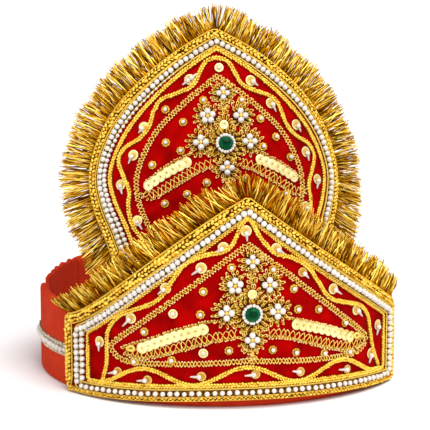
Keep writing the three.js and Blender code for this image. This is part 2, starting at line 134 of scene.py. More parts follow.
def makeMaterial(name, plain, colours, scale, spread, relief=None):
    # a principled shader: patchy colour (bright, middle, dark) led by the tone attribute, plain values on
    # its own sockets and an optional relief; where the plain values have no roughness, the noise gives it
    material = bpy.data.materials.new(name)
    material.use_nodes = True
    tree = material.node_tree
    shader = tree.nodes["Principled BSDF"]
    for socket, value in plain.items():
        shader.inputs[socket].default_value = value
    values = {key: (*colour, 1) for key, colour in zip(("Bright", "Middle", "Dark"), colours)}
    values["Tone"] = addNode(tree, "ShaderNodeAttribute", attribute_name="tone").outputs["Fac"]
    values.update({"Scale": scale, "Spread": spread})
    patchy = addNode(tree, "ShaderNodeGroup", values, node_tree=groups["patchy"])
    tree.links.new(patchy.outputs["Colour"], shader.inputs["Base Color"])
    if "Roughness" not in plain:
        tree.links.new(patchy.outputs["Rough"], shader.inputs["Roughness"])
    if relief:
        height = addNode(tree, "ShaderNodeGroup", relief["values"], node_tree=groups[relief["group"]])
        bump = {"Strength": relief["strength"], "Distance": relief["depth"] * mm}
        bump["Height"] = height.outputs["Height"]
        tree.links.new(addNode(tree, "ShaderNodeBump", bump).outputs[0], shader.inputs["Normal"])
    return material


fineWrap = {"group": "wrap", "values": {"Turns": 1.0, "Wraps": 3.0}, "strength": 0.6, "depth": 0.12}
pile = {"group": "cloth", "values": {"Threads": 0.0, "Fuzz": 1.0}, "strength": 0.5, "depth": 0.3}
plainWeave = {"group": "cloth", "values": {"Threads": 1.6, "Fuzz": 0.6}, "strength": 0.35, "depth": 0.12}
foil = {"Metallic": 0.45, "Specular IOR Level": 0.15, "Specular Tint": (1, 0.62, 0.2, 1)}  # for the golds
sheen = {"Sheen Weight": 0.1, "Sheen Roughness": 0.4, "Sheen Tint": (1, 0.03, 0.02, 1)}
velvet = makeMaterial(
    "velvet", {**sheen, "Roughness": 0.9, "Specular IOR Level": 0.03},
    [(0.46, 0.0, 0.0), (0.32, 0.0, 0.0), (0.17, 0.0, 0.0)],
    scale=110.0, spread=1.9, relief=pile,
)
cotton = makeMaterial(
    "cotton", {"Roughness": 0.9, "Specular IOR Level": 0.08},
    [(0.70, 0.052, 0.013), (0.58, 0.036, 0.009), (0.46, 0.022, 0.006)],
    scale=130.0, spread=0.9, relief=plainWeave,
)
gold = makeMaterial(
    "goldThread", foil,
    [(1.0, 0.69, 0.10), (0.66, 0.265, 0.003), (0.10, 0.022, 0.0)],
    scale=900.0, spread=1.0, relief=fineWrap,
)
paleGold = makeMaterial(
    "paleGold", foil,
    [(1.0, 0.74, 0.15), (0.76, 0.35, 0.006), (0.07, 0.010, 0.0)],
    scale=700.0, spread=0.9, relief=fineWrap,
)
silver = makeMaterial(
    "silverThread", {"Metallic": 0.5},
    [(0.93, 0.84, 0.66), (0.58, 0.44, 0.30), (0.20, 0.09, 0.03)],
    scale=900.0, spread=1.6, relief=fineWrap,
)
fringeGold = makeMaterial(
    "fringeGold", {**foil, "Specular IOR Level": 0.0, "Roughness": 0.33},
    [(1.0, 0.75, 0.13), (0.62, 0.255, 0.001), (0.075, 0.019, 0.0)],
    scale=250.0, spread=0.25,
)
wireEnd = makeMaterial(
    "wireEnd", {"Metallic": 0.2, "Roughness": 0.3},
    [(1.0, 0.86, 0.52), (0.95, 0.68, 0.26), (0.80, 0.44, 0.08)],
    scale=500.0, spread=0.6,
)
pearl = makeMaterial(
    "pearl", {"Roughness": 0.28, "Coat Weight": 0.4, "Coat Roughness": 0.1, "Sheen Weight": 0.15},
    [(0.77, 0.72, 0.66), (0.68, 0.61, 0.54), (0.54, 0.45, 0.38)],
    scale=300.0, spread=0.5,
)
sequin = makeMaterial(
    "sequin", {"Metallic": 0.3, "Roughness": 0.32},
    [(0.98, 0.86, 0.42), (0.80, 0.56, 0.14), (0.60, 0.30, 0.012)],
    scale=350.0, spread=0.4,
)
stoneGreen = makeMaterial(
    "stoneGreen", {"Roughness": 0.2, "Specular IOR Level": 0.0, "Coat Weight": 0.14, "Coat Roughness": 0.05},
    [(0.0, 0.17, 0.05), (0.0, 0.055, 0.017), (0.0, 0.008, 0.003)],
    scale=190.0, spread=1.4,
)
print("materials made")


def unit(vectors):
    # each vector over its own length
    return vectors / np.linalg.norm(vectors, axis=-1, keepdims=True)


def ramp(values, start, over):
    # a straight rise from 0 at start to 1 once over is passed
    return np.clip((values - start) / over, 0, 1)


def bell(values, middle, spread):
    # a bell curve: e to the power of less the squared distance from the middle in spreads
    return np.exp(-(((values - middle) / spread) ** 2))


def sines(values, level, *waves):
    # a level plus sines, each of the value times a rate plus a start, times its height
    return sum((high * np.sin(values * rate + start) for high, rate, start in waves), level)


def circle(turn):
    # cosine and sine of each angle
    return np.stack([np.cos(turn), np.sin(turn)], 1)


def turned(x, y, turn):
    # a flat pair turned by an angle
    return x * np.cos(turn) - y * np.sin(turn), x * np.sin(turn) + y * np.cos(turn)


def walked(points):
    # the way gone at each point: the running sum of the steps between points
    return np.concatenate([[0], np.cumsum(np.linalg.norm(np.diff(points, axis=0), axis=1))])


def gridFaces(rows, cols, closedRows, closedCols):
    # each face joins a point to the next column, the next row's next column and the next row
    row, col = np.indices((rows - (not closedRows), cols - (not closedCols)))
    rowOf = np.stack([row, row, row + 1, row + 1], -1).reshape(-1, 4)
    colOf = np.stack([col, col + 1, col + 1, col], -1).reshape(-1, 4)
    return (rowOf % rows) * cols + colOf % cols, rowOf, colOf


def gridPart(points, closedRows=False, uvCols=None, uvRows=None, tone=0.5):
    # copies of one grid (copies x rows x columns x 3) closed round its columns; open ends get a flat face
    copies, rows, cols = points.shape[:3]
    faces, rowOf, colOf = gridFaces(rows, cols, closedRows, True)
    uvCols = np.arange(cols + 1) / cols if uvCols is None else uvCols
    uvRows = np.arange(rows + 1.0) if uvRows is None else uvRows
    shift = (np.arange(copies) * rows * cols)[:, None, None]
    uv = np.stack([uvCols[colOf], uvRows[rowOf]], -1)
    sheets = [((faces + shift).reshape(-1, 4), np.tile(uv, (copies, 1, 1)))]
    if not closedRows:
        ring = np.arange(cols)
        for ends in (ring[::-1], ring + (rows - 1) * cols):
            sheets.append((ends + shift[:, :, 0], np.zeros((copies, cols, 2))))
    tones = np.broadcast_to(tone, points.shape[:3]).ravel()
    return {"points": points.reshape(-1, 3), "sheets": sheets, "tone": tones}


def makePiece(name, parts, material, replaced=(), smooth=True):
    # joins parts into one mesh in metres, with its uv map and tone attribute, and hands it to the frame
    starts = np.cumsum([0] + [len(part["points"]) for part in parts])
    sheets = [(faces + start, uv) for part, start in zip(parts, starts) for faces, uv in part["sheets"]]
    points = np.concatenate([part["points"] for part in parts]) * mm
    corners = np.concatenate([faces.ravel() for faces, uv in sheets])
    sizes = np.concatenate([np.full(len(faces), faces.shape[1]) for faces, uv in sheets])
    mesh = bpy.data.meshes.new(name)
    mesh.vertices.add(len(points))
    mesh.vertices.foreach_set("co", points.astype(np.float32).ravel())
    mesh.loops.add(len(corners))
    mesh.loops.foreach_set("vertex_index", corners.astype(np.int32))
    mesh.polygons.add(len(sizes))
    mesh.polygons.foreach_set("loop_start", (np.cumsum(sizes) - sizes).astype(np.int32))
    mesh.polygons.foreach_set("use_smooth", np.full(len(sizes), smooth))
    uvs = np.concatenate([uv.reshape(-1, 2) for faces, uv in sheets])
    mesh.uv_layers.new(name="lay").data.foreach_set("uv", uvs.astype(np.float32).ravel())
    tones = np.concatenate([part["tone"] for part in parts])
    mesh.attributes.new("tone", "FLOAT", "POINT").data.foreach_set("value", tones.astype(np.float32))
    mesh.materials.append(material)
    mesh.update(calc_edges=True)
    piece = bpy.data.objects.new(name, mesh)
    bpy.context.scene.collection.objects.link(piece)
    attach(piece, "root")
    if replaced:
        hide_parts(*replaced)


def curveThrough(rows, perSpan=24):
    # a smooth curve through rows: on each span the four nearest rows are blended with cubic weights
    spots = np.array(rows, float)
    padded = np.vstack([spots[:1], spots, spots[-1:]])
    a, b, c, d = (padded[k : k + len(spots) - 1, None] for k in range(4))
    t = np.linspace(0, 1, perSpan, endpoint=False)[None, :, None]
    bend = 2 * b + (c - a) * t + (2 * a - 5 * b + 4 * c - d) * t**2 + (3 * b - a - 3 * c + d) * t**3
    return np.vstack([0.5 * bend.reshape(-1, 2), spots[-1:]])


def makePath(points, closed=False, soften=0, step=0.4):
    # walks along points in equal steps, rounds corners with a running mean, and keeps each step's left side
    loop = np.vstack([points, points[:1]]) if closed else points
    gone = walked(loop)
    at = np.linspace(0, gone[-1], max(3, round(gone[-1] / step)) + 1)
    spots = np.stack([np.interp(at, gone, loop[:, k]) for k in (0, 1)], 1)
    if soften:
        weight = np.hanning(2 * soften + 3)[1:-1]
        if closed:
            padded = np.pad(spots[:-1], ((soften, soften + 1), (0, 0)), "wrap")
        else:
            padded = np.pad(spots, ((soften, soften), (0, 0)), "reflect", reflect_type="odd")
        spots = np.stack([np.convolve(padded[:, k], weight / weight.sum(), "valid") for k in (0, 1)], 1)
    ahead = np.gradient(spots, axis=0)
    if closed:
        ahead[0] = ahead[-1] = spots[1] - spots[-2]
    ahead = unit(ahead)
    left = np.stack([-ahead[:, 1], ahead[:, 0]], 1)
    return {"spots": spots, "sides": left, "gone": walked(spots), "closed": closed}


def readPath(path, key, distance):
    # a path's spots or left sides at each distance along it
    distance = distance % path["gone"][-1] if path["closed"] else distance
    return np.stack([np.interp(distance, path["gone"], path[key][:, k]) for k in (0, 1)], -1)


def alongPath(path, distance, lateral=0.0):
    # the flat place at each distance along a path, moved to its left by lateral
    left = readPath(path, "sides", distance)
    return readPath(path, "spots", distance) + left * np.asarray(lateral)[..., None]


def thinAt(path, narrow, share):
    # the narrowing at each share of a path, from one number or from one for each of its spots
    table = np.broadcast_to(narrow, len(path["spots"]))
    return np.interp(share, np.linspace(0, 1, len(table)), table)


def tube(place, centre, radius, sides, closed, tone, uvRows=None, roll=0.0):
    # a ring of points round each place of a centre line (copies x rows x 3), square to it, rolled about it
    ahead = unit(np.roll(centre, -1, 1) - np.roll(centre, 1, 1) if closed else np.gradient(centre, axis=1))
    level = unit(np.stack([-ahead[..., 1], ahead[..., 0], 1e-9 + 0 * ahead[..., 0]], -1))
    rise = np.cross(ahead, level)
    roll = np.broadcast_to(roll, len(centre))[:, None, None, None]
    turn = roll + np.linspace(0, 2 * np.pi, sides, endpoint=False)[:, None]
    ring = np.cos(turn) * level[:, :, None] + np.sin(turn) * rise[:, :, None]
    points = centre[:, :, None] + np.broadcast_to(radius, centre.shape[:2])[..., None, None] * ring
    tone = np.broadcast_to(tone, centre.shape[:2])[..., None]
    return gridPart(place(*np.moveaxis(points, -1, 0)), closed, None, uvRows, tone)


def ballShape(cuts):
    # a cube cut into squares and pushed out onto a sphere
    line = np.linspace(-1, 1, cuts + 1)
    a, b = np.meshgrid(line, line, indexing="ij")
    one = np.ones_like(a)
    sides = [(one, a, b), (-one, b, a), (b, one, a), (a, -one, b), (a, b, one), (b, a, -one)]
    points = np.concatenate([np.stack(side, -1).reshape(-1, 3) for side in sides])
    faces = gridFaces(cuts + 1, cuts + 1, False, False)[0]
    faces = np.concatenate([faces[:, ::-1] + k * (cuts + 1) ** 2 for k in range(6)])
    spots, index = np.unique(np.round(points, 6), axis=0, return_inverse=True)
    return unit(np.tan(spots * np.pi / 4)), index.reshape(-1)[faces]


ball2, ball3 = ballShape(2), ballShape(3)


def ballCopies(points, ball, tone):
    # one ball's faces for each row of points (balls x points x 3)
    faces = (ball[1] + (np.arange(len(points)) * len(ball[0]))[:, None, None]).reshape(-1, 4)
    sheet, tones = (faces, np.zeros(faces.shape + (2,))), np.broadcast_to(tone, points.shape[:2])
    return {"points": points.reshape(-1, 3), "sheets": [sheet], "tone": tones.ravel()}


def stampBalls(place, spots, lift, radius, tone, ball=ball2):
    # one ball per flat spot, its middle raised by lift
    lift, radius, tone = (np.broadcast_to(value, len(spots)) for value in (lift, radius, tone))
    points = place(spots[:, 0], spots[:, 1], lift)[:, None] + radius[:, None, None] * ball[0]
    return ballCopies(points, ball, tone[:, None])


def latheShape(profile, cols, petals=0, depth=0.0):
    # a profile (radius, height) turned about its axis; petals pinch the radius with a cosine
    profile = np.array(profile, float)
    turn = np.linspace(0, 2 * np.pi, cols, endpoint=False)
    radius, height = profile[:, :1], profile[:, 1:]
    radius = radius * (1 + depth * np.cos(petals * turn) * (radius / radius.max()) ** 2)
    return np.stack([radius * np.cos(turn), radius * np.sin(turn), height + 0 * turn], -1)


def stampShape(place, shape, spots, tone, turn=0.0, lift=0.0, scale=1.0, tilt=0.0, ring=False):
    # one turned and tilted copy of a shape (rows x columns x 3) per flat spot; tone is one or copies x rows
    values = (turn, lift, scale, tilt)
    turn, lift, scale, tilt = (np.broadcast_to(value, len(spots))[:, None, None] for value in values)
    x, y, z = (shape[None, ..., k] * scale for k in range(3))
    across, up = turned(x, y, turn)
    points = place(spots[:, 0, None, None] + across, spots[:, 1, None, None] + up, z + lift + x * tilt)
    return gridPart(points, ring, tone=tone[..., None] if np.ndim(tone) else tone)


front = {
    "face": 93.3, "peak": 98.3, "bottom": 0.7, "arch": 3.5, "thickness": 3.0, "reach": 30.0, "steps": 240,
}
frontLeft = {"edge": 95.4, "top": 38.0, "sag": 5.2, "sagPower": 3.0, "archPower": 3.0}
frontRight = {"edge": 92.0, "top": 40.2, "sag": 3.5, "sagPower": 1.0, "archPower": 1.2}
rear = {
    "lean": 17.5, "roll": 0.6, "bow": 80.0, "foot": (-4.3, -82.9, 4.6), "thickness": 3.0,
    "trimFoot": 12.0, "trimPeak": 0.4, "reach": 60.0,
}
rearOutline = curveThrough([
    (39.4, 0), (41.8, 17), (46.6, 38.5), (53.6, 58.5), (60.3, 76.5), (65.9, 89.5), (68.9, 102.8),
    (67, 115), (60, 128.4), (48.7, 141.2), (32.3, 154.3), (17, 164.3), (0, 173.5),
])  # half width, height


def onFront(across, up, out):
    # wrapped round the band: the turn is across over the face radius, the radius is the face plus out
    across, up, out = np.broadcast_arrays(across, up, out)
    radius, turn = front["face"] + out, across / front["face"]
    return np.stack([radius * np.sin(turn), ringY - radius * np.cos(turn), up], -1)


def onRear(across, up, out):
    # a bowed leaning board: up along its rise, across round its bow, out off its face
    across, up, out = np.broadcast_arrays(across, up, out)
    lean, roll = math.radians(rear["lean"]), math.radians(rear["roll"])
    level, rise = np.array([1, 0, 0]), np.array([0, math.sin(lean), math.cos(lean)])
    upLine = rise * math.cos(roll) - level * math.sin(roll)
    sideLine = level * math.cos(roll) + rise * math.sin(roll)
    faceLine = np.array([0, -math.cos(lean), math.sin(lean)])
    radius, turn = rear["bow"] + out, across / rear["bow"]
    sideways, forward = radius * np.sin(turn), radius * np.cos(turn) - rear["bow"]
    foot = np.array(rear["foot"]) + (0, ringY, 0)
    return foot + up[..., None] * upLine + (sideways[..., None] * sideLine + forward[..., None] * faceLine)


def ofHalf(across, name):
    # the left or the right half's own number
    return np.where(np.asarray(across) < 0, frontLeft[name], frontRight[name])


def frontTop(across, slope=0.0, point=0.0):
    # a straight slope from peak to side, lowered by the inset over the slope's cosine and by its sag:
    # share times one less share to a power, scaled so that its deepest place is the sag itself
    edge, top, power = (ofHalf(across, name) for name in ("edge", "top", "sagPower"))
    share = 1 - np.abs(across) / edge
    inset = point + (slope - point) * np.minimum(np.abs(across) / front["reach"], 1)
    sag = ofHalf(across, "sag") * share * (1 - share) ** power * (1 + power) ** (1 + power) / power**power
    return top + (front["peak"] - top) * share - sag - inset / np.cos(np.arctan2(front["peak"] - top, edge))


def frontBottom(across, inset=0.0):
    # a low arch: one less the squared share of the half width, to a power
    share = np.clip(1 - (across / ofHalf(across, "edge")) ** 2, 0, 1)
    return front["bottom"] + front["arch"] * share ** ofHalf(across, "archPower") + inset


def overPeak(first, last, steps=150):
    # even steps from one side to the middle and on to the other side
    return np.concatenate([np.linspace(first, 0, steps), np.linspace(0, last, steps)[1:]])


def frontLoop(inset):
    # round the panel at its insets: along the bottom, up the right side, over the peak and down the left
    left, right = inset["left"] - frontLeft["edge"], frontRight["edge"] - inset["right"]
    low = np.linspace(left, right, front["steps"])
    high = overPeak(right, left)
    bottom = np.stack([low, frontBottom(low, inset["bottom"])], 1)
    slope = np.where(high < 0, inset["slopeLeft"], inset["slopeRight"])
    return np.vstack([bottom, np.stack([high, frontTop(high, slope, inset["point"])], 1)])


def rearLine(inset):
    # up the right side, over the peak and down the left; each point is moved in along its left side
    way = unit(np.gradient(rearOutline, axis=0))
    left = np.stack([-way[:, 1], way[:, 0]], 1)
    share = np.minimum(rearOutline[:, :1] / rear["reach"], 1)
    halves = []
    for hand in ("right", "left"):
        moved = rearOutline + left * (inset["point"] + (inset[hand] - inset["point"]) * share)
        halves.append(moved[(moved[:, 0] > rear["trimPeak"]) & (moved[:, 1] > rear["trimFoot"])])
    peak = [[0, rearOutline[-1, 1] + inset["point"] / way[-1, 0]]]
    return np.vstack([halves[0], peak, halves[1][::-1] * (-1, 1)])


def bothSides(rows):
    # a half line and its mirror image as one loop from the top middle
    half = curveThrough(rows)
    return np.vstack([half, half[-2:0:-1] * (-1, 1)])


print("helpers ready")

squeeze = {"depth": 2.2, "at": 85.0, "spread": 28.0}  # the soft band is pressed in a little at the right
bandSizes = {
    "radius": 90.0, "wall": 4.5, "front": 40.5, "back": 45.0, "fold": 1.6, "stiffEnd": 98.0,
    "gatherEnd": 127.0, "cornerDrop": 2.2, "cornerLong": 4.0, "innerSway": 0.2, "steps": 150,
    "wobble": [(0.35, 9, 1), (0.2, 23, 0)],
}
gatherSizes = {
    "wall": 2.4, "inset": 2.2, "top": 42.4, "rise": 2.4, "folds": 6, "ripple": 0.12, "scallop": 0.7,
    "fold": 1.1, "gap": 0.004, "tone": 0.45, "steps": 190, "uneven": (0.025, 14, 0),
    "scallopSway": (0.7, (0.5, 31, 0)), "rippleSway": (0.8, (0.3, 19, 0)),
}  # levels and sines


def wallPart(turn, inner, outer, low, high, fold, tone=0.5, cuts=11):
    # a wall swept round the ring with round folds: down outside, under the rim, up inside and over the top
    values = (turn, inner, outer, low, high)
    turn, inner, outer, low, high = (np.broadcast_to(value, len(turn))[:, None] for value in values)
    arc, run = np.linspace(0, np.pi / 2, 5), np.linspace(0, 1, cuts)[1:-1]
    out, into, up, down = outer - fold, inner + fold, high - fold, low + fold
    radius = np.hstack([
        out + fold * np.sin(arc), outer + 0 * run, out + fold * np.cos(arc),
        into - fold * np.sin(arc), inner + 0 * run, into - fold * np.cos(arc),
    ])
    height = np.hstack([
        up + fold * np.cos(arc), up + (down - up) * run, down - fold * np.sin(arc),
        down - fold * np.cos(arc), down + (up - down) * run, up + fold * np.sin(arc),
    ])
    points = np.stack([radius * np.sin(turn), ringY - radius * np.cos(turn), height], -1)
    girth = walked(np.stack([radius[0], height[len(height) // 2]], 1))
    uvRows = np.append(turn[:, 0], turn[-1, 0]) * bandSizes["radius"]
    return gridPart(points[None], uvCols=np.append(girth, girth[-1] + 1), uvRows=uvRows, tone=tone)


def pressed(turn):
    # how far the ring is pressed in: a bell curve of the turn round its middle
    return squeeze["depth"] * bell(np.degrees(turn), squeeze["at"], squeeze["spread"])


def bandPieces():
    # the stiff arcs are plain walls whose tops round off at their ends; a gather's wall ripples on a cosine
    end, join = math.radians(bandSizes["stiffEnd"]), math.radians(bandSizes["gatherEnd"])
    outer, inner = bandSizes["radius"], bandSizes["radius"] - bandSizes["wall"]
    arcs = [
        ("band_front", -end, end, bandSizes["front"], 0),
        ("band_back", join, 2 * np.pi - join, bandSizes["back"], 1),
    ]  # the last number is the share of the wobble on the top
    for name, first, last, high, sway in arcs:
        turn = np.linspace(first, last, bandSizes["steps"])
        near = np.minimum(turn - first, last - turn) * outer
        corner = bandSizes["cornerDrop"] * (1 - ramp(near, 0, bandSizes["cornerLong"])) ** 2
        wobble = sines(turn, 0, *bandSizes["wobble"])
        dent = pressed(turn) + pressed(turn - 2 * np.pi)
        inside = inner + bandSizes["innerSway"] * wobble - dent
        part = wallPart(turn, inside, outer - dent, 0.0, high - corner + wobble * sway, bandSizes["fold"])
        makePiece("bandCotton_" + name, [part], cotton, [name])
    wall, gap = outer - gatherSizes["inset"], gatherSizes["gap"]
    share = np.linspace(0, 1, gatherSizes["steps"])
    waves = np.cos(2 * np.pi * gatherSizes["folds"] * sines(share, share, gatherSizes["uneven"]))
    scallop = gatherSizes["scallop"] * waves * sines(share, *gatherSizes["scallopSway"])
    for name, side in (("band_gather_left", -1), ("band_gather_right", 1)):
        turn = side * (end + gap + (join - end - 2 * gap) * share)
        ripple = gatherSizes["ripple"] * waves * sines(share, *gatherSizes["rippleSway"])
        ripple = ripple - pressed(turn)
        high = gatherSizes["top"] + scallop + gatherSizes["rise"] * share
        rows = (turn, wall - gatherSizes["wall"] + ripple, wall + ripple, 0 * share, high)
        part = wallPart(*(row[::side] for row in rows), gatherSizes["fold"], gatherSizes["tone"])
        makePiece("gatherCotton_" + name, [part], cotton, [name])


bandPieces()
print("band made")

boards = {
    "fold": 1.3, "cuts": 24, "steps": 90, "soft": 0.8, "close": 150.0, "top": 173.0, "rows": (70, 26),
    "arc": 9, "run": 44,
}  # rows lie closer above close


def panelPieces():
    # the front board is a wall between the panel's two lines; the rear one is swept up its outline
    across = overPeak(-frontLeft["edge"], frontRight["edge"], boards["steps"])
    back, lines = front["face"] - front["thickness"], (frontBottom(across), frontTop(across))
    part = wallPart(across / front["face"], back, front["face"], *lines, boards["fold"], cuts=boards["cuts"])
    makePiece("frontVelvet", [part], velvet, ["front_panel"])
    close, (few, many) = boards["close"], boards["rows"]
    height = np.concatenate([np.linspace(0, close, few), np.linspace(close, boards["top"], many)[1:]])
    half = np.interp(height, rearOutline[:, 1], rearOutline[:, 0])[:, None]
    depth = rear["thickness"] / 2
    soft = np.minimum(depth, boards["soft"] * half)
    arc, run = np.linspace(0, np.pi, boards["arc"])[1:-1], np.linspace(-1, 1, boards["run"])
    bulge, curl = half - soft + soft * np.sin(arc), depth * np.cos(arc)
    flat = np.hstack([(half - soft) * run, bulge, (half - soft) * run[::-1], -bulge])
    out = np.concatenate([0 * run, curl - depth, 0 * run - 2 * depth, -curl - depth])
    points = onRear(flat, height[:, None], out[None])
    makePiece("rearVelvet", [gridPart(points[None])], velvet, ["rear_panel"])


panelPieces()
print("panels made")

frontInsets = {
    "braid": {"slopeLeft": 2.8, "slopeRight": 2.1, "point": 2.1, "left": 3.0, "right": 2.1, "bottom": 1.15},
    "pearls": {"slopeLeft": 8.0, "slopeRight": 6.3, "point": 5.7, "left": 9.6, "right": 6.2, "bottom": 3.75},
    "inner": {"slopeLeft": 11.1, "slopeRight": 9.4, "point": 8.4, "left": 16.7, "right": 11.9, "bottom": 7.3},
}
rearInsets = {
    "braid": {"left": 2.6, "right": 2.1, "point": 2.1},
    "pearls": {"left": 7.7, "right": 6.8, "point": 5.8},
    "inner": {"left": 13.4, "right": 12.0, "point": 8.8},
}
frontWaveRows = [
    (0.4, 88.6), (2.4, 85.2), (5.4, 80), (9.6, 74.4), (13.6, 71.2), (20, 69.6), (28, 65.1), (33.2, 58.6),
    (38.4, 51), (43, 47.6), (49, 45.8),
    (59.6, 42.8), (65.6, 37), (67.6, 30), (70.2, 20.2), (76, 9.9),
]
bottomWave = {"period": 48.0, "middle": 4.3, "swing": 3.9, "right": 72.0, "left": -67.0, "steps": 200}
leftFoot = {"shift": 4.6, "from": 30.0, "over": 20.0}  # the left wave's lower end stands further in
leftHead = {"shift": 2.4, "at": 75.5, "spread": 4.5}  # and so does its first bend
rearWaveRows = [
    (0, 158.7), (5, 157.1), (8.2, 152), (11.6, 145.7), (18.4, 142.7), (27, 139.9), (31, 134.5),
    (33.6, 127.5), (38.6, 122.3), (46.6, 118.7), (50.2, 113.1), (48.2, 105.9), (45.2, 98.1), (46, 89.9),
    (43.8, 80.5), (37.4, 70.5), (36.6, 58.5),
]
frontFrameRows = [
    (0, 76.4), (15, 65), (32.8, 51), (49, 38.8), (63, 28.6), (64.4, 25), (60.2, 21.4), (52.5, 20.2),
    (30, 20.9), (0, 22.6),
]
rearFrameRows = [
    (0, 149.9), (12, 140.7), (20.2, 133.9), (30, 124.9), (36, 116), (40, 107.5), (41.4, 100.5), (40.4, 91.5),
    (36, 80.5), (28, 71.5), (14, 67.1), (0, 65.9),
]


def waveLines():
    # front: the right wave, its copy moved with the left slope, and a low cosine; rear: one mirrored line
    right = curveThrough(frontWaveRows)
    left = np.stack([-right[:, 0], right[:, 1] + frontTop(-right[:, 0]) - frontTop(right[:, 0])], 1)
    left[:, 0] += leftFoot["shift"] * ramp(-left[:, 1], -leftFoot["from"], leftFoot["over"])
    left[:, 0] += leftHead["shift"] * bell(left[:, 1], leftHead["at"], leftHead["spread"])
    low = np.linspace(bottomWave["right"], bottomWave["left"], bottomWave["steps"])
    sway = bottomWave["middle"] + bottomWave["swing"] * np.cos(2 * np.pi * low / bottomWave["period"])
    bottom = np.stack([low, frontBottom(low, frontInsets["inner"]["bottom"]) + sway], 1)
    half = curveThrough(rearWaveRows)
    return np.vstack([right, bottom, left[::-1]]), np.vstack([half[::-1], half[1:] * (-1, 1)])


frontWave, rearWave = waveLines()
sides = {"front": {"place": onFront}, "rear": {"place": onRear}}
for key, corner in (("braid", 3), ("pearls", 3), ("inner", 4)):
    sides["front"][key] = makePath(frontLoop(frontInsets[key]), closed=True, soften=corner)
    sides["rear"][key] = makePath(rearLine(rearInsets[key]), soften=5)
fields = (("front", frontWave, frontFrameRows, 5), ("rear", rearWave, rearFrameRows, 4))
for name, wave, rows, corner in fields:
    sides[name]["wave"] = makePath(wave, soften=corner)
    sides[name]["frame"] = makePath(bothSides(rows), closed=True, soften=3)

rope = {"strands": 2, "sides": 4, "wraps": 3, "shade": 0.8}  # shared by both ropes
edgeRope = {
    "width": 0.95, "height": 0.95, "strand": 0.27, "pitch": 2.4, "steps": 6, "lift": 0.25, "tone": 0.8,
    "offsets": (-1.72, 1.72),
}
pearlRope = {
    "width": 1.15, "height": 0.95, "strand": 0.31, "pitch": 1.9, "steps": 5, "lift": 0.1, "tone": 0.75,
    "offsets": (-1.95, 1.9),
}
thinKeep = 0.6  # the share of its thickness that a narrowed stitch or strand keeps
stitch = {"slant": 0.5, "shade": 0.05}
fatChain = {
    "pitch": 2.0, "row": 0.7, "oval": (2.3, 1.2, 1.7), "lift": 0.35, "tone": 1.1, "ends": 0.95,
    "jitter": 0.16,
}
laidCord = {
    "pitch": 1.4, "row": 0.5, "oval": (2.0, 1.04, 1.2), "lift": 0.3, "tone": 1.12, "ends": 0.95,
    "jitter": 0.08,
}
tapeLoop = np.array([(-0.5, 0.05), (0.5, 0.05), (0.5, 0.5), (0.3, 1), (-0.3, 1), (-0.5, 0.5)])  # in shares
# painted shade: dark tapes under the cords and pearls, for the shade in the gaps between them
shadeTapes = {
    "braid": {"width": 4.2, "lift": 0.5, "tone": -0.2},
    "pearls": {"width": 4.6, "lift": 0.25, "tone": 0.12},
    "cord": {"width": 2.0, "lift": 0.7, "tone": 0.1},
}
frameNet = {"pitch": 3.1, "half": 1.15, "jitter": 0.17, "wire": 0.25, "tone": 0.95, "bead": 0.34}
netSet = {"middle": 0.65, "swing": 0.3, "bead": 0.85, "steps": 4, "reach": (0.85, 1.1), "shade": 0.25}
wireDrop = {
    "steps": 12, "size": (0.86, 1.12), "narrow": 0.45, "widen": 0.75, "up": 0.4, "rise": 0.45, "bead": 0.95,
    "lift": (0, 0.2), "sides": 4,
}
wireShade = {"reach": 0.6, "turn": 0.45, "stray": 0.15, "bead": (0.3, 1)}
braidWidth = {
    "low": 0.5, "foot": (1.5, 5), "slope": 0.32, "nearTop": (-12, 4), "leftOf": (2, 8), "side": 0.4,
    "corner": (88, 4), "rear": 0.16, "rearOver": 50,
}  # pairs are a ramp's start and length
innerWidth = {"less": 0.42, "nearTop": (-22, 6)}


def strandCord(place, path, cord, offset, narrow=1.0):
    # a rope: strands circle the middle line, side on a cosine and height on a sine
    length = path["gone"][-1]
    pitches = round(length / cord["pitch"])
    steps = pitches * cord["steps"]
    share = np.arange(steps + (not path["closed"])) / steps
    phase = 2 * np.pi * (share * pitches + np.arange(rope["strands"])[:, None] / rope["strands"])
    thin = thinAt(path, narrow, share)
    half, lift = cord["width"] / 2 - cord["strand"], np.sin(phase)
    spots = alongPath(path, share * length + 0 * phase, (offset + np.cos(phase) * half) * thin)
    height = cord["lift"] + cord["height"] / 2 + lift * (cord["height"] / 2 - cord["strand"])
    centre = np.concatenate([spots, height[..., None]], -1)
    radius = cord["strand"] * (thinKeep + (1 - thinKeep) * thin)
    # painted shade and light: each strand is darker where it dips under the other and lighter where it rides
    # over
    tone = cord["tone"] + rope["shade"] * lift
    uvRows = np.arange(steps + 2) / cord["steps"] * rope["wraps"]
    return tube(place, centre, radius, rope["sides"], path["closed"], tone, uvRows)


def shadeTapePart(place, path, tape, narrow=1.0):
    # a thin flat dark tape under a cord, painted shade in its gaps: a six-sided loop carried along the path
    count = len(path["spots"]) - path["closed"]
    flat, rise = tapeLoop[:, 0] * tape["width"], tapeLoop[:, 1] * tape["lift"]
    spread = flat * np.broadcast_to(narrow, len(path["spots"]))[:count, None]
    spots = path["spots"][:count, None] + path["sides"][:count, None] * spread[..., None]
    points = place(spots[..., 0], spots[..., 1], rise[None] + 0 * spread)
    return gridPart(points[None], path["closed"], tone=tape["tone"])


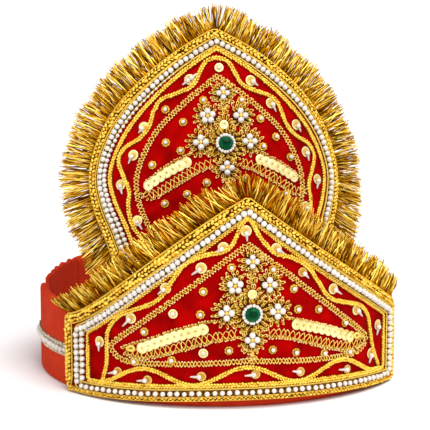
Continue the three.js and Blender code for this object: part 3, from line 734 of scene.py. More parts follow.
def addLoops(kit, place, feet, turn, loop):
    # closed wire drops: out from the foot on half a cosine, sideways on a sine that widens with the reach,
    # and a bead at each tip
    count, steps = len(feet), wireDrop["steps"]
    turn = (turn + rng.normal(0, loop["jitter"], count))[:, None]
    size = rng.uniform(*wireDrop["size"], count)[:, None]
    t = np.linspace(0, 2 * np.pi, steps, endpoint=False)[None]
    grow = (1 - np.cos(t)) / 2
    swing = loop["wide"] / 2 * size * np.sin(t) * (wireDrop["narrow"] + wireDrop["widen"] * grow)
    across, up = turned(loop["long"] * size * grow, swing, turn)
    across, up = feet[:, :1] + across, feet[:, 1:] + up
    height = wireDrop["up"] + wireDrop["rise"] * grow + rng.uniform(*wireDrop["lift"], count)[:, None]
    # painted shade and light: each drop is darker at its foot and lighter at its tip, and one side of its
    # loop is lit while the other is shaded
    tone = loop["tone"] + wireShade["reach"] * (grow - 0.5) + wireShade["turn"] * np.sin(t)
    tone = tone + rng.normal(0, wireShade["stray"], turn.shape)
    centre = np.stack([across, up, height], -1)
    kit["wires"].append(tube(place, centre, loop["wire"], wireDrop["sides"], True, tone))
    tips = np.stack([across[:, steps // 2], up[:, steps // 2]], 1)
    beads, tone = loop["bead"] * size[:, 0], rng.uniform(*wireShade["bead"], count)
    kit["beads"].append(stampBalls(place, tips, wireDrop["bead"], beads, tone))


def loopRow(kit, place, path, loop, edge, offset):
    # wire drops side by side along a path, each square to it less a slant; edge picks its left or right
    count = max(2, round(path["gone"][-1] / loop["pitch"]))
    at = (np.arange(count) + 0.5) * path["gone"][-1] / count
    side = readPath(path, "sides", at) * edge
    turn = np.arctan2(side[:, 1], side[:, 0]) - edge * loop["slant"]
    addLoops(kit, place, alongPath(path, at, edge * offset), turn, loop)


def loopFan(kit, place, middle, radius, first, last, count, loop):
    # wire drops set round a middle at a radius, from one angle to another
    turn = np.radians(np.linspace(first, last, count, endpoint=(last - first) % 360 != 0))
    addLoops(kit, place, middle + radius * circle(turn), turn, loop)


def crossedNet(kit, place, path, net):
    # two wires wave across the path half a turn apart: lateral eases on a cosine between straying knots
    closed, length, steps = path["closed"], path["gone"][-1], netSet["steps"]
    count = 2 * round(length / net["pitch"])
    line = np.arange(steps * count + (not closed)) / steps
    eased = np.floor(line) + (1 - np.cos(np.pi * (line % 1))) / 2
    order = np.arange(count + 1)
    for sign in (-1, 1):
        knots = order[:-1] + rng.normal(0, net["jitter"], count)
        knots = np.append(knots, knots[0] + count) * length / count
        lateral = sign * net["half"] * (-1.0) ** order[:-1] * rng.uniform(*netSet["reach"], count)
        lateral = np.append(lateral, lateral[0])
        at = np.interp(line, order, knots)
        at = at if closed else np.clip(at, 0, length)
        spots = alongPath(path, at, np.interp(eased, order, lateral))
        height = netSet["middle"] + netSet["swing"] * sign * np.cos(np.pi * line)
        centre = np.concatenate([spots, height[:, None]], -1)[None]
        # painted light and shade: each wire is lighter at its outer bends and darker where the two wires
        # cross
        tone = net["tone"] + netSet["shade"] * np.cos(2 * np.pi * line)[None]
        kit["wires"].append(tube(place, centre, net["wire"], wireDrop["sides"], closed, tone))
        crossings = spots[::steps]
        tone = rng.uniform(*wireShade["bead"], len(crossings))
        kit["beads"].append(stampBalls(place, crossings, netSet["bead"], net["bead"], tone))


def grainCord(place, path, grain, offset=0.0, narrow=1.0):
    # a chain-stitched cord: ovals in two rows left and right of the line, leaning in so each pair makes a V
    length, jitter = path["gone"][-1], grain["jitter"]
    count = round(length / grain["pitch"])
    row = np.repeat([-1.0, 1.0], count)
    at = (np.tile(np.arange(count), 2) + 0.5 + row / 4) * length / count
    thin = thinAt(path, narrow, at / length)
    spots = alongPath(path, at, (offset + row * grain["row"] + rng.normal(0, jitter, len(at))) * thin)
    left = readPath(path, "sides", at)
    turn = np.arctan2(-left[:, 0], left[:, 1]) - row * stitch["slant"] + rng.normal(0, jitter, len(at))
    oval = ball2[0] * np.array(grain["oval"]) / 2
    size, thin = 1 + rng.normal(0, jitter, (len(at), 1)), thin[:, None]
    x, y = oval[:, 0] * size * (thinKeep + (1 - thinKeep) * thin), oval[:, 1] * size * thin
    across, up = turned(x, y, turn[:, None])
    height = grain["lift"] + grain["oval"][2] / 2 + oval[:, 2]
    points = place(spots[:, :1] + across, spots[:, 1:] + up, height + 0 * across)
    # painted shade: each stitch darkens towards its two ends, where it meets its neighbours
    tone = grain["tone"] - grain["ends"] * np.abs(ball2[0][:, 0]) ** 3
    return ballCopies(points, ball2, tone + rng.normal(0, stitch["shade"] + jitter, (len(at), 1)))


def kitPieces(kit, wires, beads, replaced=()):
    makePiece(wires, kit["wires"], paleGold, replaced)
    makePiece(beads, kit["beads"], wireEnd)


def frontBraidWidth(spots):
    # thin along the low arch, and wider on the left slope and at the left side
    narrow = braidWidth["low"]
    narrow = narrow + (1 - narrow) * ramp(spots[:, 1] - frontBottom(spots[:, 0]), *braidWidth["foot"])
    nearTop = ramp(spots[:, 1] - frontTop(spots[:, 0]), *braidWidth["nearTop"])
    slope = braidWidth["slope"] * nearTop * ramp(-spots[:, 0], *braidWidth["leftOf"])
    return narrow * (1 + np.maximum(slope, braidWidth["side"] * ramp(-spots[:, 0], *braidWidth["corner"])))


def cordPieces(name, side):
    # the edge braid is a tape with a fat chain between two ropes, the pearls lie on a tape between ropes,
    # the inner and wave cords are chains on a tape and the frame is two crossed wires with beads; the tapes
    # are dark, painted shade in the gaps between cords and pearls
    place, path = side["place"], side["braid"]
    if name == "front":
        narrow = frontBraidWidth(path["spots"])
    else:
        narrow = 1 + braidWidth["rear"] * ramp(-path["spots"][:, 0], 0, braidWidth["rearOver"])
    braid = [shadeTapePart(place, path, shadeTapes["braid"], narrow), grainCord(place, path, fatChain, 0.0, narrow)]
    braid += [strandCord(place, path, edgeRope, offset, narrow) for offset in edgeRope["offsets"]]
    makePiece(name + "Braid", braid, gold, [name + "_braid"])
    threads = [strandCord(place, side["pearls"], pearlRope, offset) for offset in pearlRope["offsets"]]
    threads.append(shadeTapePart(place, side["pearls"], shadeTapes["pearls"]))
    makePiece(name + "PearlThread", threads, paleGold)
    for key, label in (("inner", "InnerCord"), ("wave", "WaveCord")):
        path, slim = side[key], 1.0
        if name == "front" and key == "inner":
            rise = path["spots"][:, 1] - frontTop(path["spots"][:, 0])
            slim = 1 - innerWidth["less"] * ramp(rise, *innerWidth["nearTop"])
        cord = [shadeTapePart(place, path, shadeTapes["cord"], slim), grainCord(place, path, laidCord, 0.0, slim)]
        makePiece(name + label, cord, gold, [name + "_" + key + "_cord"])
    kit = {"wires": [], "beads": []}
    crossedNet(kit, place, side["frame"], frameNet)
    kitPieces(kit, name + "ChainFrame", name + "FrameBeads", [name + "_chain_frame"])


pearlSet = {"stray": 0.12, "size": (0.94, 1.04), "lift": 0.95, "tone": (0.62, 1)}
frontRows = {
    "low": {"pitch": 3.35, "radius": 1.28, "start": 1.0},
    "high": {"pitch": 2.82, "radius": 1.5},
    "column": {"pitch": 2.9, "radius": 1.45},
}
columnEnds = [(-82.1, 7.0), (-82.1, 31.4)]
slopeBeads = {
    "from": -80, "to": -26, "steps": 60,
    "rows": [(2.05, {"pitch": 1.75, "radius": 0.72}), (-1.8, {"pitch": 1.7, "radius": 0.55})],
}  # each row: further in than the pearls, sizes
rearRow = {"pitch": 2.85, "radius": 1.42}
secondRow = {"pitch": 2.7, "from": 26.0, "over": 67.0, "least": 0.6, "grow": 0.65, "inset": 1.4}


def pearlRow(place, path, pitch, radius, start=0.0, end=None):
    # pearls at equal steps along a path, each a little off its place and size
    end = path["gone"][-1] if end is None else end
    count = int((end - start) / pitch)
    at = start + (np.arange(count) + 0.5) * (end - start) / count
    at = at + rng.normal(0, pearlSet["stray"], count)
    size = radius * rng.uniform(*pearlSet["size"], count)
    spots = alongPath(path, at, rng.normal(0, pearlSet["stray"], count))
    return stampBalls(place, spots, size * pearlSet["lift"], size, rng.uniform(*pearlSet["tone"], count))


def frontBorder(place, path):
    # a row along the bottom, one round sides and slopes, a column at the left and beads on the left slope
    inset = frontInsets["pearls"]
    lowEnd = frontRight["edge"] + frontLeft["edge"] - inset["left"] - inset["right"]
    rows = [
        pearlRow(place, path, **frontRows["low"], end=lowEnd),
        pearlRow(place, path, **frontRows["high"], start=lowEnd),
        pearlRow(place, makePath(np.array(columnEnds)), **frontRows["column"]),
    ]
    across = np.linspace(slopeBeads["from"], slopeBeads["to"], slopeBeads["steps"])
    for shift, sizes in slopeBeads["rows"]:
        level = inset["slopeLeft"] + shift
        line = np.stack([across, frontTop(across, level, level)], 1)
        rows.append(pearlRow(place, makePath(line), **sizes))
    return rows


def rearBorder(place, path):
    # one row over the peak, and a second one down the left whose pearls grow with the way gone
    rows = [pearlRow(place, path, **rearRow)]
    half = path["gone"][-1] / 2
    first = half + secondRow["from"]
    at = np.arange(first, 2 * half, secondRow["pitch"])
    size = secondRow["least"] + secondRow["grow"] * ramp(at, first, secondRow["over"])
    spots = alongPath(path, at, secondRow["inset"] + size)
    return rows + [stampBalls(place, spots, size, size, rng.uniform(*pearlSet["tone"], len(at)))]


borders = {"front": frontBorder, "rear": rearBorder}
for name, side in sides.items():
    cordPieces(name, side)
    rows = borders[name](side["place"], side["pearls"])
    makePiece(name + "PearlBorder", rows, pearl, [name + "_pearl_border"])
print("cords and pearl borders made")

medallion = {"shift": 2.2, "front": 44.2, "rear": 117.1}
rayLoop = {"long": 1.9, "wide": 1.1, "jitter": 0.5, "wire": 0.27, "tone": 0.9, "bead": 0.2}
petalLoop = {"long": 2.2, "wide": 1.1, "jitter": 0.28, "wire": 0.24, "tone": 0.92, "bead": 0.35}
fans = [
    (0, 5.3, 0, 360, 18, rayLoop), (0, 6.7, 0, 360, 19, rayLoop), (0, 8.0, 0, 360, 20, petalLoop),
    (9.3, 2.5, 10, 170, 7, petalLoop), (14, 0.4, 40, 140, 4, petalLoop), (16.5, 0.4, 20, 160, 5, petalLoop),
    (19, 0.4, 10, 170, 5, petalLoop), (-16.5, 0.4, 195, 345, 6, petalLoop),
    (-19, 0.4, 215, 325, 4, petalLoop),
]  # up from the stone, radius, first and last angle, number of wire drops, their sizes
flowers = [
    ("top", 0.0, 24.3, 4, 1.0, -60, 240, 12), ("upper_left", -7.8, 13.4, 5, 1.12, 40, 310, 12),
    ("upper_right", 7.8, 13.4, 4, 1.12, -130, 140, 12), ("left", -11.6, 0.9, 4, 1.15, 50, 310, 11),
    ("right", 11.6, 0.9, 4, 1.15, -130, 130, 11), ("bottom", 0.0, -11.8, 4, 1.1, 130, 410, 12),
]  # name, across, up, petals, size, first and last angle of the wire drops, number of drops
flowerPearl = {"ring": 1.95, "crowded": 1.1, "radius": 1.36, "tone": (0.75, 1)}
flowerBead = {"radius": 1.0, "up": 1.95, "tone": 0.8}
# painted shadow and painted shade: the darkest tones, for the discs under the flowers and for the stone's
# setting
paintedShadowTone, settingShadeTone = -0.3, 0.0
flowerLoops = {"inner": 2.9, "outer": 4.4}
stonePearls = {"count": 18, "stray": 0.03, "ring": 4.05, "up": 1.6, "radius": (0.84, 0.94), "tone": (0.6, 1)}
stoneDome = latheShape([
    (3.1, 0.6), (3.1, 1.5), (2.95, 2.25), (2.6, 2.85), (2.1, 3.25), (1.45, 3.5), (0.75, 3.6), (0.15, 3.62),
], 32)
# painted light: the dome is lighter in a band near its rim and dark in the middle, standing for light seen
# through the stone
stoneShade = np.array([0.3, 0.55, 0.85, 0.8, 0.55, 0.3, 0.15, 0.1])  # lighter near the rim
# painted shadow: a dark scalloped disc under each flower, standing for the shade among its pearls and wire
# drops
paintedShadowDisc = latheShape([(0.2, 0.05), (3.9, 0.05), (4.0, 0.15), (3.8, 0.25), (0.2, 0.3)], 28, 14, 0.06)
# the stone's setting, a rim round the stone with a wide flat skirt under the rays, takes the darkest gold:
# painted shade among the wire drops
settingRing = latheShape([
    (3.0, 0.1), (8.2, 0.1), (8.4, 0.2), (8.0, 0.32), (5.4, 0.5), (5.2, 0.9), (3.9, 1.0), (3.0, 0.9),
], 32)


def medallionPieces(name, side):
    # a domed stone in a ring of pearls with gold drops round it, and six pearl flowers edged with wire drops
    place, middle = side["place"], np.array([medallion["shift"], medallion[name]])
    dome = stampShape(place, stoneDome, middle[None], stoneShade[None])
    makePiece(name + "Stone", [dome], stoneGreen, [name + "_stone"])
    count = stonePearls["count"]
    turn = 2 * np.pi * np.arange(count) / count + rng.normal(0, stonePearls["stray"], count)
    size = rng.uniform(*stonePearls["radius"], count)
    spots = middle + stonePearls["ring"] * circle(turn)
    tone = rng.uniform(*stonePearls["tone"], count)
    beads = stampBalls(place, spots, stonePearls["up"], size, tone)
    makePiece(name + "StonePearls", [beads], pearl)
    setting = stampShape(place, settingRing, middle[None], settingShadeTone, ring=True)
    kit = {"wires": [setting], "beads": []}
    for up, radius, first, last, count, loop in fans:
        loopFan(kit, place, middle + (0, up), radius, first, last, count, loop)
    for label, across, up, petals, size, first, last, count in flowers:
        centre = middle + (across, up)
        turn = np.pi / 2 + 2 * np.pi * np.arange(petals) / petals
        ring = flowerPearl["ring"] * size * (1 if petals < 5 else flowerPearl["crowded"])
        ball = flowerPearl["radius"] * size
        tone = rng.uniform(*flowerPearl["tone"], petals)
        pearls = stampBalls(place, centre + ring * circle(turn), ball, ball, tone, ball3)
        makePiece(name + "Flower_" + label, [pearls], pearl, [name + "_flower_" + label])
        kit["wires"] += [
            stampBalls(place, centre[None], flowerBead["up"], flowerBead["radius"], flowerBead["tone"]),
            stampShape(place, paintedShadowDisc, centre[None], paintedShadowTone, scale=size),
        ]
        step = (last - first) / (count - 1) / 2
        inner, outer = flowerLoops["inner"] * size, flowerLoops["outer"] * size
        loopFan(kit, place, centre, inner, first, last, count, petalLoop)
        loopFan(kit, place, centre, outer, first + step, last - step, count - 1, petalLoop)
    kitPieces(kit, name + "MedallionWire", name + "WireBeads")


for name, side in sides.items():
    medallionPieces(name, side)
print("medallions made")

stripRows = {
    "front": {
        "left": [(-20, 37.3), (-34.6, 32.9), (-48.6, 27.1)],
        "right": [(23.5, 38.2), (39.2, 34.0), (54, 28.5)],
        "count": 10,
    },
    "rear": {
        "left": [(-16.7, 108.8), (-26.3, 104.7), (-35.3, 99.6)],
        "right": [(19, 109.4), (28, 106), (36.7, 101.7)],
        "count": 7,
    },
}
latticeRows = {
    "front": {
        "low": [(7, 35.2), (14, 34.6), (22, 32.6), (34, 28.8), (46, 25.2), (53, 24.4), (59.5, 25.8)],
        "high": [(15.5, 41.6), (24, 39.8), (36, 36), (46, 32), (55, 28.8), (61, 26)],
    },
    "rear": {
        "low": [(7, 108), (13, 106.4), (20, 102.8), (28, 98.4), (34, 95.4), (38, 95), (40, 97.4)],
        "high": [(15, 113.4), (22, 110.6), (30, 106.6), (38, 101.4)],
    },
}
leafSpots = {"front": [(-54.4, 26.4, 8), (58.4, 28.4, -8)], "rear": []}  # across, up, slope in degrees
leafSizes = {
    "long": 1.8, "wide": 0.95, "point": 0.5, "up": 0.7, "wire": 0.68, "tone": 1.2, "steps": 20, "sides": 6,
}
stripSequin = latheShape([(0.2, 0.25), (2.6, 0.15), (2.7, 0.22), (2.5, 0.36), (1.2, 0.36), (0.24, 0.34)], 18)
stripSet = {"lift": 0.4, "tilt": -0.07, "tone": (0.84, 1.0), "stray": 0.06}
# painted shade: each strip sequin is darker at its rim and round its hole
sequinShade = np.array([0, 0, -0.35, -0.05, 0, -0.45])
edgeLoop = {
    "pitch": 1.45, "long": 1.35, "wide": 0.95, "slant": 0.5, "jitter": 0.2, "wire": 0.2, "tone": 1.0,
    "bead": 0.32,
}
edgeOffsets = {"low": 1.4, "high": -0.5}
net = {"pitch": 4.9, "half": 1.9, "jitter": 0.2, "wire": 0.22, "tone": 1.0, "bead": 0.3}


def stripPieces(name, side):
    # overlapped tilted sequins along each strip, a diamond lattice of two crossed waves below it, wire drops
    # along both lines, and on the front a leaf of bent wire at each outer end
    place, kit, shift = side["place"], {"wires": [], "beads": []}, (medallion["shift"], 0)
    for hand, sign in (("left", -1), ("right", 1)):
        line, count = makePath(curveThrough(stripRows[name][hand])), stripRows[name]["count"]
        spots = alongPath(line, np.linspace(0, line["gone"][-1], count))
        ahead = np.gradient(spots, axis=0)
        turn = np.arctan2(ahead[:, 1], ahead[:, 0])
        tone = np.linspace(*stripSet["tone"], count) + rng.normal(0, stripSet["stray"], count)
        tone = tone[:, None] + sequinShade
        lift, tilt = stripSet["lift"], stripSet["tilt"]
        discs = stampShape(place, stripSequin, spots, tone, turn, lift, tilt=tilt, ring=True)
        makePiece(name + "Strip_" + hand, [discs], sequin, [name + "_strip_" + hand])
        rows = {key: np.array(row) * (sign, 1) + shift for key, row in latticeRows[name].items()}
        lines = {key: makePath(curveThrough(row)) for key, row in rows.items()}
        crossedNet(kit, place, lines["low"], net)
        loopRow(kit, place, lines["low"], edgeLoop, -sign, edgeOffsets["low"])
        loopRow(kit, place, lines["high"], edgeLoop, sign, edgeOffsets["high"])
    t = np.linspace(0, 2 * np.pi, leafSizes["steps"], endpoint=False)
    for across, up, slope in leafSpots[name]:
        wide = leafSizes["wide"] * (1 - leafSizes["point"] * np.cos(t) * np.sign(across))
        x, y = turned(leafSizes["long"] * np.cos(t), wide * np.sin(t), math.radians(slope))
        leaf = np.stack([across + x, up + y, leafSizes["up"] + 0 * t], -1)
        sizes = (leafSizes["wire"], leafSizes["sides"], True, leafSizes["tone"])
        kit["wires"].append(tube(place, leaf[None], *sizes))
    kitPieces(kit, name + "Lattice", name + "LatticeBeads")


for name, side in sides.items():
    stripPieces(name, side)
print("strips and lattices made")

drops = {
    "front": [
        (-71.4, 27.5, -71.8, 22.9), (-54, 40.6, -58.3, 36.4), (-37, 55.8, -40.6, 52.9),
        (-20.7, 65.6, -25, 62.5), (-10.8, 75, -14.4, 72.9), (-0.7, 82.4, -0.2, 77.8),
        (13.2, 73.9, 17.1, 71.4), (26.1, 62.2, 29.2, 59.2), (42.7, 52.8, 47.6, 49.7),
        (57.5, 40.9, 61.6, 37.1), (74.5, 30.7, 73.8, 25.8), (68.7, 17.9, 67.6, 13.3),
        (-61.2, 14.6, -66.6, 13.1), (-45.9, 12.3, -51.2, 11.5), (-20.7, 15.4, -25.8, 15.2),
        (3.9, 16.2, -1.2, 15.7), (25.5, 15.7, 21.4, 16.4), (52, 13.2, 46.6, 13.9),
    ],
    "rear": [
        (16.2, 147.6, 19.7, 145.2), (26, 137, 28.5, 132.9), (39.8, 127.3, 42.4, 124),
        (44.9, 114.4, 46.5, 110.1), (51.7, 101.4, 50.9, 96.7), (43, 87.5, 42, 83),
        (-36.2, 127.6, -38.9, 125), (-42.3, 114.8, -44.9, 111), (-49.7, 101.4, -49.1, 96.8),
        (-41.8, 83.3, -39.4, 78.8),
    ],
}  # sequin's middle, bugle's tip
twinDrops = {"front": [], "rear": [(-13.1, 148.6, -16.6, 146.2), (-13.1, 148.6, -9.4, 151.4)]}  # one sequin
darkDrops = {"front": [7, 12, 13, 14, 15, 16, 17], "rear": []}  # rows of drops in deeper gold
cups = {
    "front": [
        (-47.3, 34.9), (-21.1, 44.2), (-19.8, 54.8), (-7.2, 65.8), (11.6, 64.5), (21.8, 54.9), (23.9, 45.2),
        (34.7, 44.1), (50, 35.8), (-8.3, 27.6), (-34.3, 22.5), (-52.4, 20.4), (11.8, 27.2), (23.1, 25.1),
        (38, 23), (52.9, 21.5),
    ],
    "rear": [
        (-25.2, 135), (-17.2, 128.3), (-25.8, 119.1), (-19, 114.7), (-32.9, 109), (-7.6, 98.8), (-17, 93.8),
        (-27.7, 90.1), (-7.2, 138.3), (10.9, 138), (20, 129.2), (27.7, 120.7), (20.7, 115.7), (35, 111.1),
        (11.2, 100.4), (31.1, 93),
    ],
}
flatDots = {
    "front": [(2.2, 53.5), (-33.5, 44.2), (-19.8, 26.4)], "rear": [(1.9, 126.2), (1, 153.8)],
}  # sequins without a bugle; the first has no pearl
dropSequin = latheShape([
    (0.15, 0.2), (1.8, 0.25), (2.55, 0.6), (2.55, 0.8), (2.2, 0.62), (1.9, 0.78), (1.55, 0.52), (1.25, 0.66),
    (0.9, 0.45), (0.15, 0.5),
], 20)
dropShade = np.array([0, 0, 0.1, 0.15, 0.1, -0.2, -0.5, -0.25, -0.55, -0.4])  # painted shade: darker in the ring grooves and towards the bead in the middle
petalCup = latheShape(
    [(0.3, 0.05), (1.9, 0.05), (2.05, 0.35), (1.95, 0.85), (1.6, 1.05), (1.2, 0.8), (0.3, 0.5)], 24, 8, 0.09
)
# painted highlight on the rim, painted shade outside and within
cupShade = np.array([0, -0.4, -0.5, 0.1, 0.5, -0.1, -0.4])  # pale on the rim, dark outside and within
bugle = {
    "start": 1.7, "thick": 0.75, "thin": 0.32, "rows": 7, "sides": 7, "up": 1.3, "drop": 0.5, "tone": 0.4,
}
dots = {
    "tone": (0.8, 0.95), "lift": (0, 0.5), "scale": (1.0, 0.84), "darkTone": 0.35, "darkScale": 0.84,
    "bare": 0.3,
}  # pairs: drops, flat dots
rimBead = {"lift": 1.6, "radius": 1.15, "tone": 0.75}
cupPearl = {"lift": 1.5, "radius": 1.05, "tone": (0.6, 0.95)}
cupSet = {"turn": (0, 1), "tone": (0.35, 0.6)}


def dotPieces(name, side):
    # each drop is a ringed sequin with a bead on its rim and a tapered bugle out to the table's tip; each
    # cup is a petal dish with a pearl
    place, table = side["place"], np.array(drops[name] + twinDrops[name])
    spots, way = table[:, :2], table[:, 2:] - table[:, :2]
    span = np.linalg.norm(way, axis=1)[:, None]
    way = way / span
    flat, cup = np.array(flatDots[name]), np.array(cups[name])
    single = spots[: len(spots) - len(twinDrops[name]) // 2]
    tone, lift, scale = (np.repeat(dots[key], [len(single), len(flat)]) for key in ("tone", "lift", "scale"))
    tone[darkDrops[name]] = dots["darkTone"]
    scale[darkDrops[name]] = dots["darkScale"]
    # the sequin without a pearl keeps only a little of the painted shade
    shade = np.repeat([1.0, dots["bare"], 1.0], [len(single), 1, len(flat) - 1])
    tone = tone[:, None] + shade[:, None] * dropShade
    discs = stampShape(place, dropSequin, np.vstack([single, flat]), tone, lift=lift, scale=scale)
    makePiece(name + "Sequins", [discs], sequin)
    share = np.linspace(0, 1, bugle["rows"])
    reach = bugle["start"] + (span - bugle["start"]) * share
    line = spots[:, None] + way[:, None] * reach[..., None]
    centre = np.concatenate([line, bugle["up"] - bugle["drop"] * share[:, None] + 0 * line[..., :1]], -1)
    thick = bugle["thick"] + (bugle["thin"] - bugle["thick"]) * share
    pearls = np.vstack([cup, flat[1:]])
    tone = rng.uniform(*cupPearl["tone"], len(pearls))
    beads = [
        tube(place, centre, thick, bugle["sides"], False, bugle["tone"]),
        stampBalls(place, spots + way, rimBead["lift"], rimBead["radius"], rimBead["tone"], ball3),
        stampBalls(place, pearls, cupPearl["lift"], cupPearl["radius"], tone, ball3),
    ]
    makePiece(name + "DotPearls", beads, pearl)
    turn = rng.uniform(*cupSet["turn"], len(cup))
    tone = rng.uniform(*cupSet["tone"], len(cup))[:, None] + cupShade
    makePiece(name + "Cups", [stampShape(place, petalCup, cup, tone, turn)], gold)


for name, side in sides.items():
    dotPieces(name, side)
print("drops and cups made")

fringeSizes = {
    "front": {
        "length": 12.6, "perMm": 4.4, "lean": (1.0, 1.0), "bend": (2.5, 6.0), "taper": (0.0, 0.45),
        "tilt": 0.22, "flare": 0.0, "clump": 3.2, "crown": 0.22, "peakAt": -0.018,
    },
    "rear": {
        "length": 14.6, "perMm": 7.0, "lean": (0.9, 0.9), "bend": (6.0, 6.0), "taper": (0.4, 0.4),
        "tilt": 0.0, "flare": 8.0, "clump": 3.6, "crown": 0.2, "peakAt": 0.035,
    },
}  # pairs: right and left half of the edge
# painted light: strands of the one gold painted lit, half-lit or shaded
strandKinds = {
    "share": [0.30, 0.26, 0.44], "tone": [1.15, 0.5, 0.0],
    "low": [-0.4, -0.6, -1.0], "high": [1.0, 0.8, 0.7],
}  # bright, middling, dark
strand = {
    "rows": 8, "sides": 3, "wire": 0.29, "thinner": 0.25, "root": -0.8, "depth": -1.5, "layers": (0.5, 1.1),
    "curl": (0.3, 5, 9), "stray": 2.1, "clumpStray": 0.8, "crownSpread": 0.075, "shoulder": 69.0,
    "paintedGlint": 0.3, "rootShade": 0.9, "tipLight": 0.4, "toneStray": 0.08,
    "uneven": (1, (0.07, 1.7, 0), (0.06, 0.31, 0)),
}
strandDraws = {
    "root": (0, 1), "pull": (0, 0.65), "wriggle": (0.03, 0.2), "rate": (2, 6), "start": (0, 6.3),
    "tall": (0.82, 1.03), "paintedGlintRate": (7, 15), "roll": (0, 2.1),
}  # least and most
powers = {
    "drift": 1.1, "wriggle": 0.5, "taper": 8, "outer": 1.5, "flare": 1.3, "rootShade": 2.5, "tipLight": 2,
    "thinner": 3,
}
fringeEnds = {"rearFoot": 54.0, "inset": 0.5}


def fringePart(place, path, outward, sizes):
    # strands leave the edge square to it and lean more towards its ends; they get shorter there and, in a
    # bell, at the peak; each drifts along the edge to its clump's middle and wriggles on a sine
    length = path["gone"][-1]
    count, clumpCount = int(length * sizes["perMm"]), int(length / sizes["clump"])

    def draw(key):
        # one even draw for each strand
        return rng.uniform(*strandDraws[key], count)[:, None]

    root = (np.arange(count)[:, None] + draw("root")) * length / count
    clumps = np.linspace(0, length, clumpCount) + rng.normal(0, strand["clumpStray"], clumpCount)
    clumps = np.sort(clumps)
    home = clumps[np.abs(root - clumps[None]).argmin(1)][:, None]
    share = np.linspace(0, 1, strand["rows"])[None]
    pull = draw("pull")
    edge = np.clip(2 * root / length - 1, -1, 1)
    lean, bend, taper = (np.where(edge < 0, *sizes[key]) for key in ("lean", "bend", "taper"))
    lean = sizes["tilt"] + lean * np.sign(edge) * np.abs(edge) ** bend
    drift = (home - root) * pull + rng.normal(0, strand["stray"], count)[:, None]
    drift = drift * share ** powers["drift"] + lean * sizes["length"] * share
    wriggle = draw("wriggle") * np.sin(share * draw("rate") + draw("start"))
    at = drift + wriggle * share ** powers["wriggle"]
    tall = sines(home, *strand["uneven"])
    tall = tall * draw("tall") * (1 - taper * np.abs(edge) ** powers["taper"])
    tall = tall * (1 - sizes["crown"] * bell(edge, sizes["peakAt"], strand["crownSpread"]))
    reach = strand["root"] + (sizes["length"] - strand["root"]) * tall * share
    base = alongPath(path, root + 0 * at)
    side = -readPath(outward, "sides", root + 0 * at)
    along = np.stack([-side[..., 1], side[..., 0]], -1)
    spots = base + side * reach[..., None] + along * at[..., None]
    # each strand is painted lit, half-lit or shaded
    kind = rng.choice(3, count, p=strandKinds["share"])
    tone, bottom, top = (np.array(strandKinds[key])[kind] for key in ("tone", "low", "high"))
    layer = rng.uniform(bottom, top)[:, None]
    (near, far), (curl, rate, start) = strand["layers"], strand["curl"]
    height = strand["depth"] + layer * (near + far * share) + curl * np.sin(share * rate + layer * start)
    outer = np.minimum(np.abs(base[:, :1, 0]) / strand["shoulder"], 1)
    height = height + sizes["flare"] * outer ** powers["outer"] * share ** powers["flare"]
    # painted glints: bright and dark dashes along each strand
    paintedGlint = strand["paintedGlint"] * np.sin(share * draw("paintedGlintRate") + draw("start"))
    shade = (tone + rng.normal(0, strand["toneStray"], count))[:, None] + paintedGlint
    # painted shade: strands darken towards their roots at the edge; painted light: the shaded strands lighten
    # towards their tips
    shade = shade * (1 - strand["rootShade"] * (1 - share) ** powers["rootShade"])
    shade = shade + strand["tipLight"] * share ** powers["tipLight"] * (kind == 2)[:, None]
    centre = np.concatenate([spots, height[..., None]], -1)
    radius = strand["wire"] * (1 - strand["thinner"] * share ** powers["thinner"])
    return tube(place, centre, radius, strand["sides"], False, shade, roll=draw("roll")[:, 0])


def fringePieces():
    # the front's edge runs along both slopes, the rear's from shoulder to shoulder over the peak
    right, left = frontRight["edge"] - fringeEnds["inset"], fringeEnds["inset"] - frontLeft["edge"]
    across = overPeak(right, left)
    half = rearOutline[rearOutline[:, 1] > fringeEnds["rearFoot"]]
    edges = {
        "front": np.stack([across, frontTop(across)], 1),
        "rear": np.vstack([half, half[-2::-1] * (-1, 1)]),
    }
    for name, rows in edges.items():
        path, outward = makePath(rows, soften=3), makePath(rows, soften=22)
        outward["gone"] = outward["gone"] * path["gone"][-1] / outward["gone"][-1]
        strands = fringePart(sides[name]["place"], path, outward, fringeSizes[name])
        makePiece(name + "Fringe", [strands], fringeGold, [name + "_fringe"], smooth=False)


fringePieces()
print("fringe made")

trimSizes = {"up": 17.8, "end": 96.6, "gap": 0.6, "sink": 0.35, "flat": 0.75, "offsets": (-2.3, 2.3)}
trimPearl = {"pitch": 3.6, "radius": 1.35}
trimShadeTape = {"width": 6.4, "lift": 0.25, "tone": 0.2}
trimChain = {
    "pitch": 1.9, "row": 0.4, "oval": (1.9, 0.85, 1.2), "lift": 0.2, "tone": 0.95, "ends": 1.0,
    "jitter": 0.08,
}


def onBand(across, up, out):
    # the front's place, flattened and sunk to the band's own face, with the band's dent
    dent = pressed(across / front["face"])
    return onFront(across, up, trimSizes["flat"] * out - front["thickness"] - trimSizes["sink"] - dent)


def trimPieces():
    # along the band's side at one height: pearls between two chain-stitched cords on a tape of painted shade
    last = math.radians(trimSizes["end"]) * front["face"]
    for hand, sign, edge in (("left", -1, frontLeft["edge"]), ("right", 1, frontRight["edge"])):
        ends = [(sign * (edge + trimSizes["gap"]), trimSizes["up"]), (sign * last, trimSizes["up"])]
        line = makePath(np.array(ends))
        cords = [grainCord(onBand, line, trimChain, offset) for offset in trimSizes["offsets"]]
        cords.append(shadeTapePart(onBand, line, trimShadeTape))
        makePiece("bandTrim_" + hand, cords, silver, ["band_trim_" + hand])
        makePiece("bandTrimPearls_" + hand, [pearlRow(onBand, line, **trimPearl)], pearl)


trimPieces()
print("band trims made")

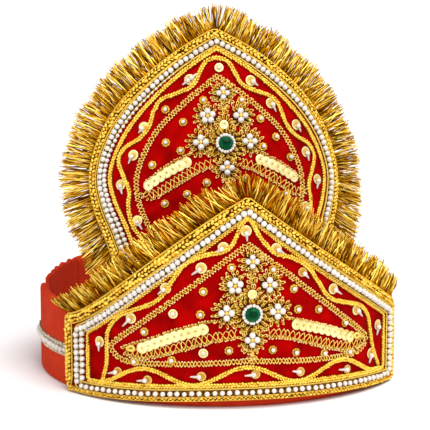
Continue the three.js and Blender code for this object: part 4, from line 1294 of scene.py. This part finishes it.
shot = {
    "focal": 1600.0, "frame": 430.0, "sensor": 36.0, "azimuth": -8.0, "elevation": 9.26, "distance": 809.1,
    "aimUp": 74.5, "aimAcross": -1.54,
}
lamps = {
    "sun": {"kind": "SUN", "place": (0.25, -0.6, 1.0), "aim": (0, 0, 0), "size": 0.9, "power": 3.2},
    "fill": {"kind": "AREA", "place": (-1.0, -0.95, 0.45), "aim": (0, 0, 0.07), "size": 0.8, "power": 4.8},
    "back": {"kind": "AREA", "place": (0.9, 0.6, 0.8), "aim": (-0.05, 0, 0.05), "size": 0.7, "power": 4.0},
    "low": {"kind": "AREA", "place": (0.2, -1.2, 0.08), "aim": (0, 0, 0.0), "size": 0.5, "power": 1.3},
}
paperLook = {"Base Color": (0.95, 0.95, 0.95, 1), "Roughness": 0.9, "Specular IOR Level": 0.0}
studio = {"Color": (1, 1, 1, 1), "Strength": 0.24}
floorHalf = 18.0


def stageSet():
    # a wide flat white floor, a broad soft sun, three weaker lamps at the left, behind and low in front, an
    # even dim world and the photo's camera
    scene = bpy.context.scene
    floorMesh = bpy.data.meshes.new("floor")
    corners = [(x * floorHalf, y * floorHalf, 0) for x, y in ((-1, -1), (1, -1), (1, 1), (-1, 1))]
    floorMesh.from_pydata(corners, [], [(0, 1, 2, 3)])
    floor = bpy.data.objects.new("floor", floorMesh)
    scene.collection.objects.link(floor)
    paper = bpy.data.materials.new("paper")
    paper.use_nodes = True
    for socket, value in paperLook.items():
        paper.node_tree.nodes["Principled BSDF"].inputs[socket].default_value = value
    floorMesh.materials.append(paper)
    for name, lamp in lamps.items():
        light = bpy.data.lights.new(name, lamp["kind"])
        light.energy = lamp["power"]
        if lamp["kind"] == "SUN":
            light.angle = lamp["size"]
        else:
            light.shape, light.size = "DISK", lamp["size"]
        holder = bpy.data.objects.new(name, light)
        holder.location = lamp["place"]
        way = Vector(lamp["aim"]) - Vector(lamp["place"])
        holder.rotation_euler = way.to_track_quat("-Z", "Y").to_euler()
        scene.collection.objects.link(holder)
    world = bpy.data.worlds.new("studio")
    world.use_nodes = True
    for socket, value in studio.items():
        world.node_tree.nodes["Background"].inputs[socket].default_value = value
    scene.world = world
    a, e = math.radians(shot["azimuth"]), math.radians(shot["elevation"])
    right = Vector((math.cos(a), math.sin(a), 0))
    back = Vector((math.sin(a) * math.cos(e), -math.cos(a) * math.cos(e), math.sin(e)))
    aim = Vector((0, ringY * mm, shot["aimUp"] * mm)) + right * shot["aimAcross"] * mm
    lens = bpy.data.cameras.new("camera")
    lens.sensor_width, lens.lens = shot["sensor"], shot["focal"] * shot["sensor"] / shot["frame"]
    camera = bpy.data.objects.new("camera", lens)
    camera.location = aim + back * shot["distance"] * mm
    camera.rotation_euler = (-back).to_track_quat("-Z", "Y").to_euler()
    scene.collection.objects.link(camera)
    scene.camera = camera
    scene.view_settings.view_transform = "Standard"


stageSet()
print("stage set")
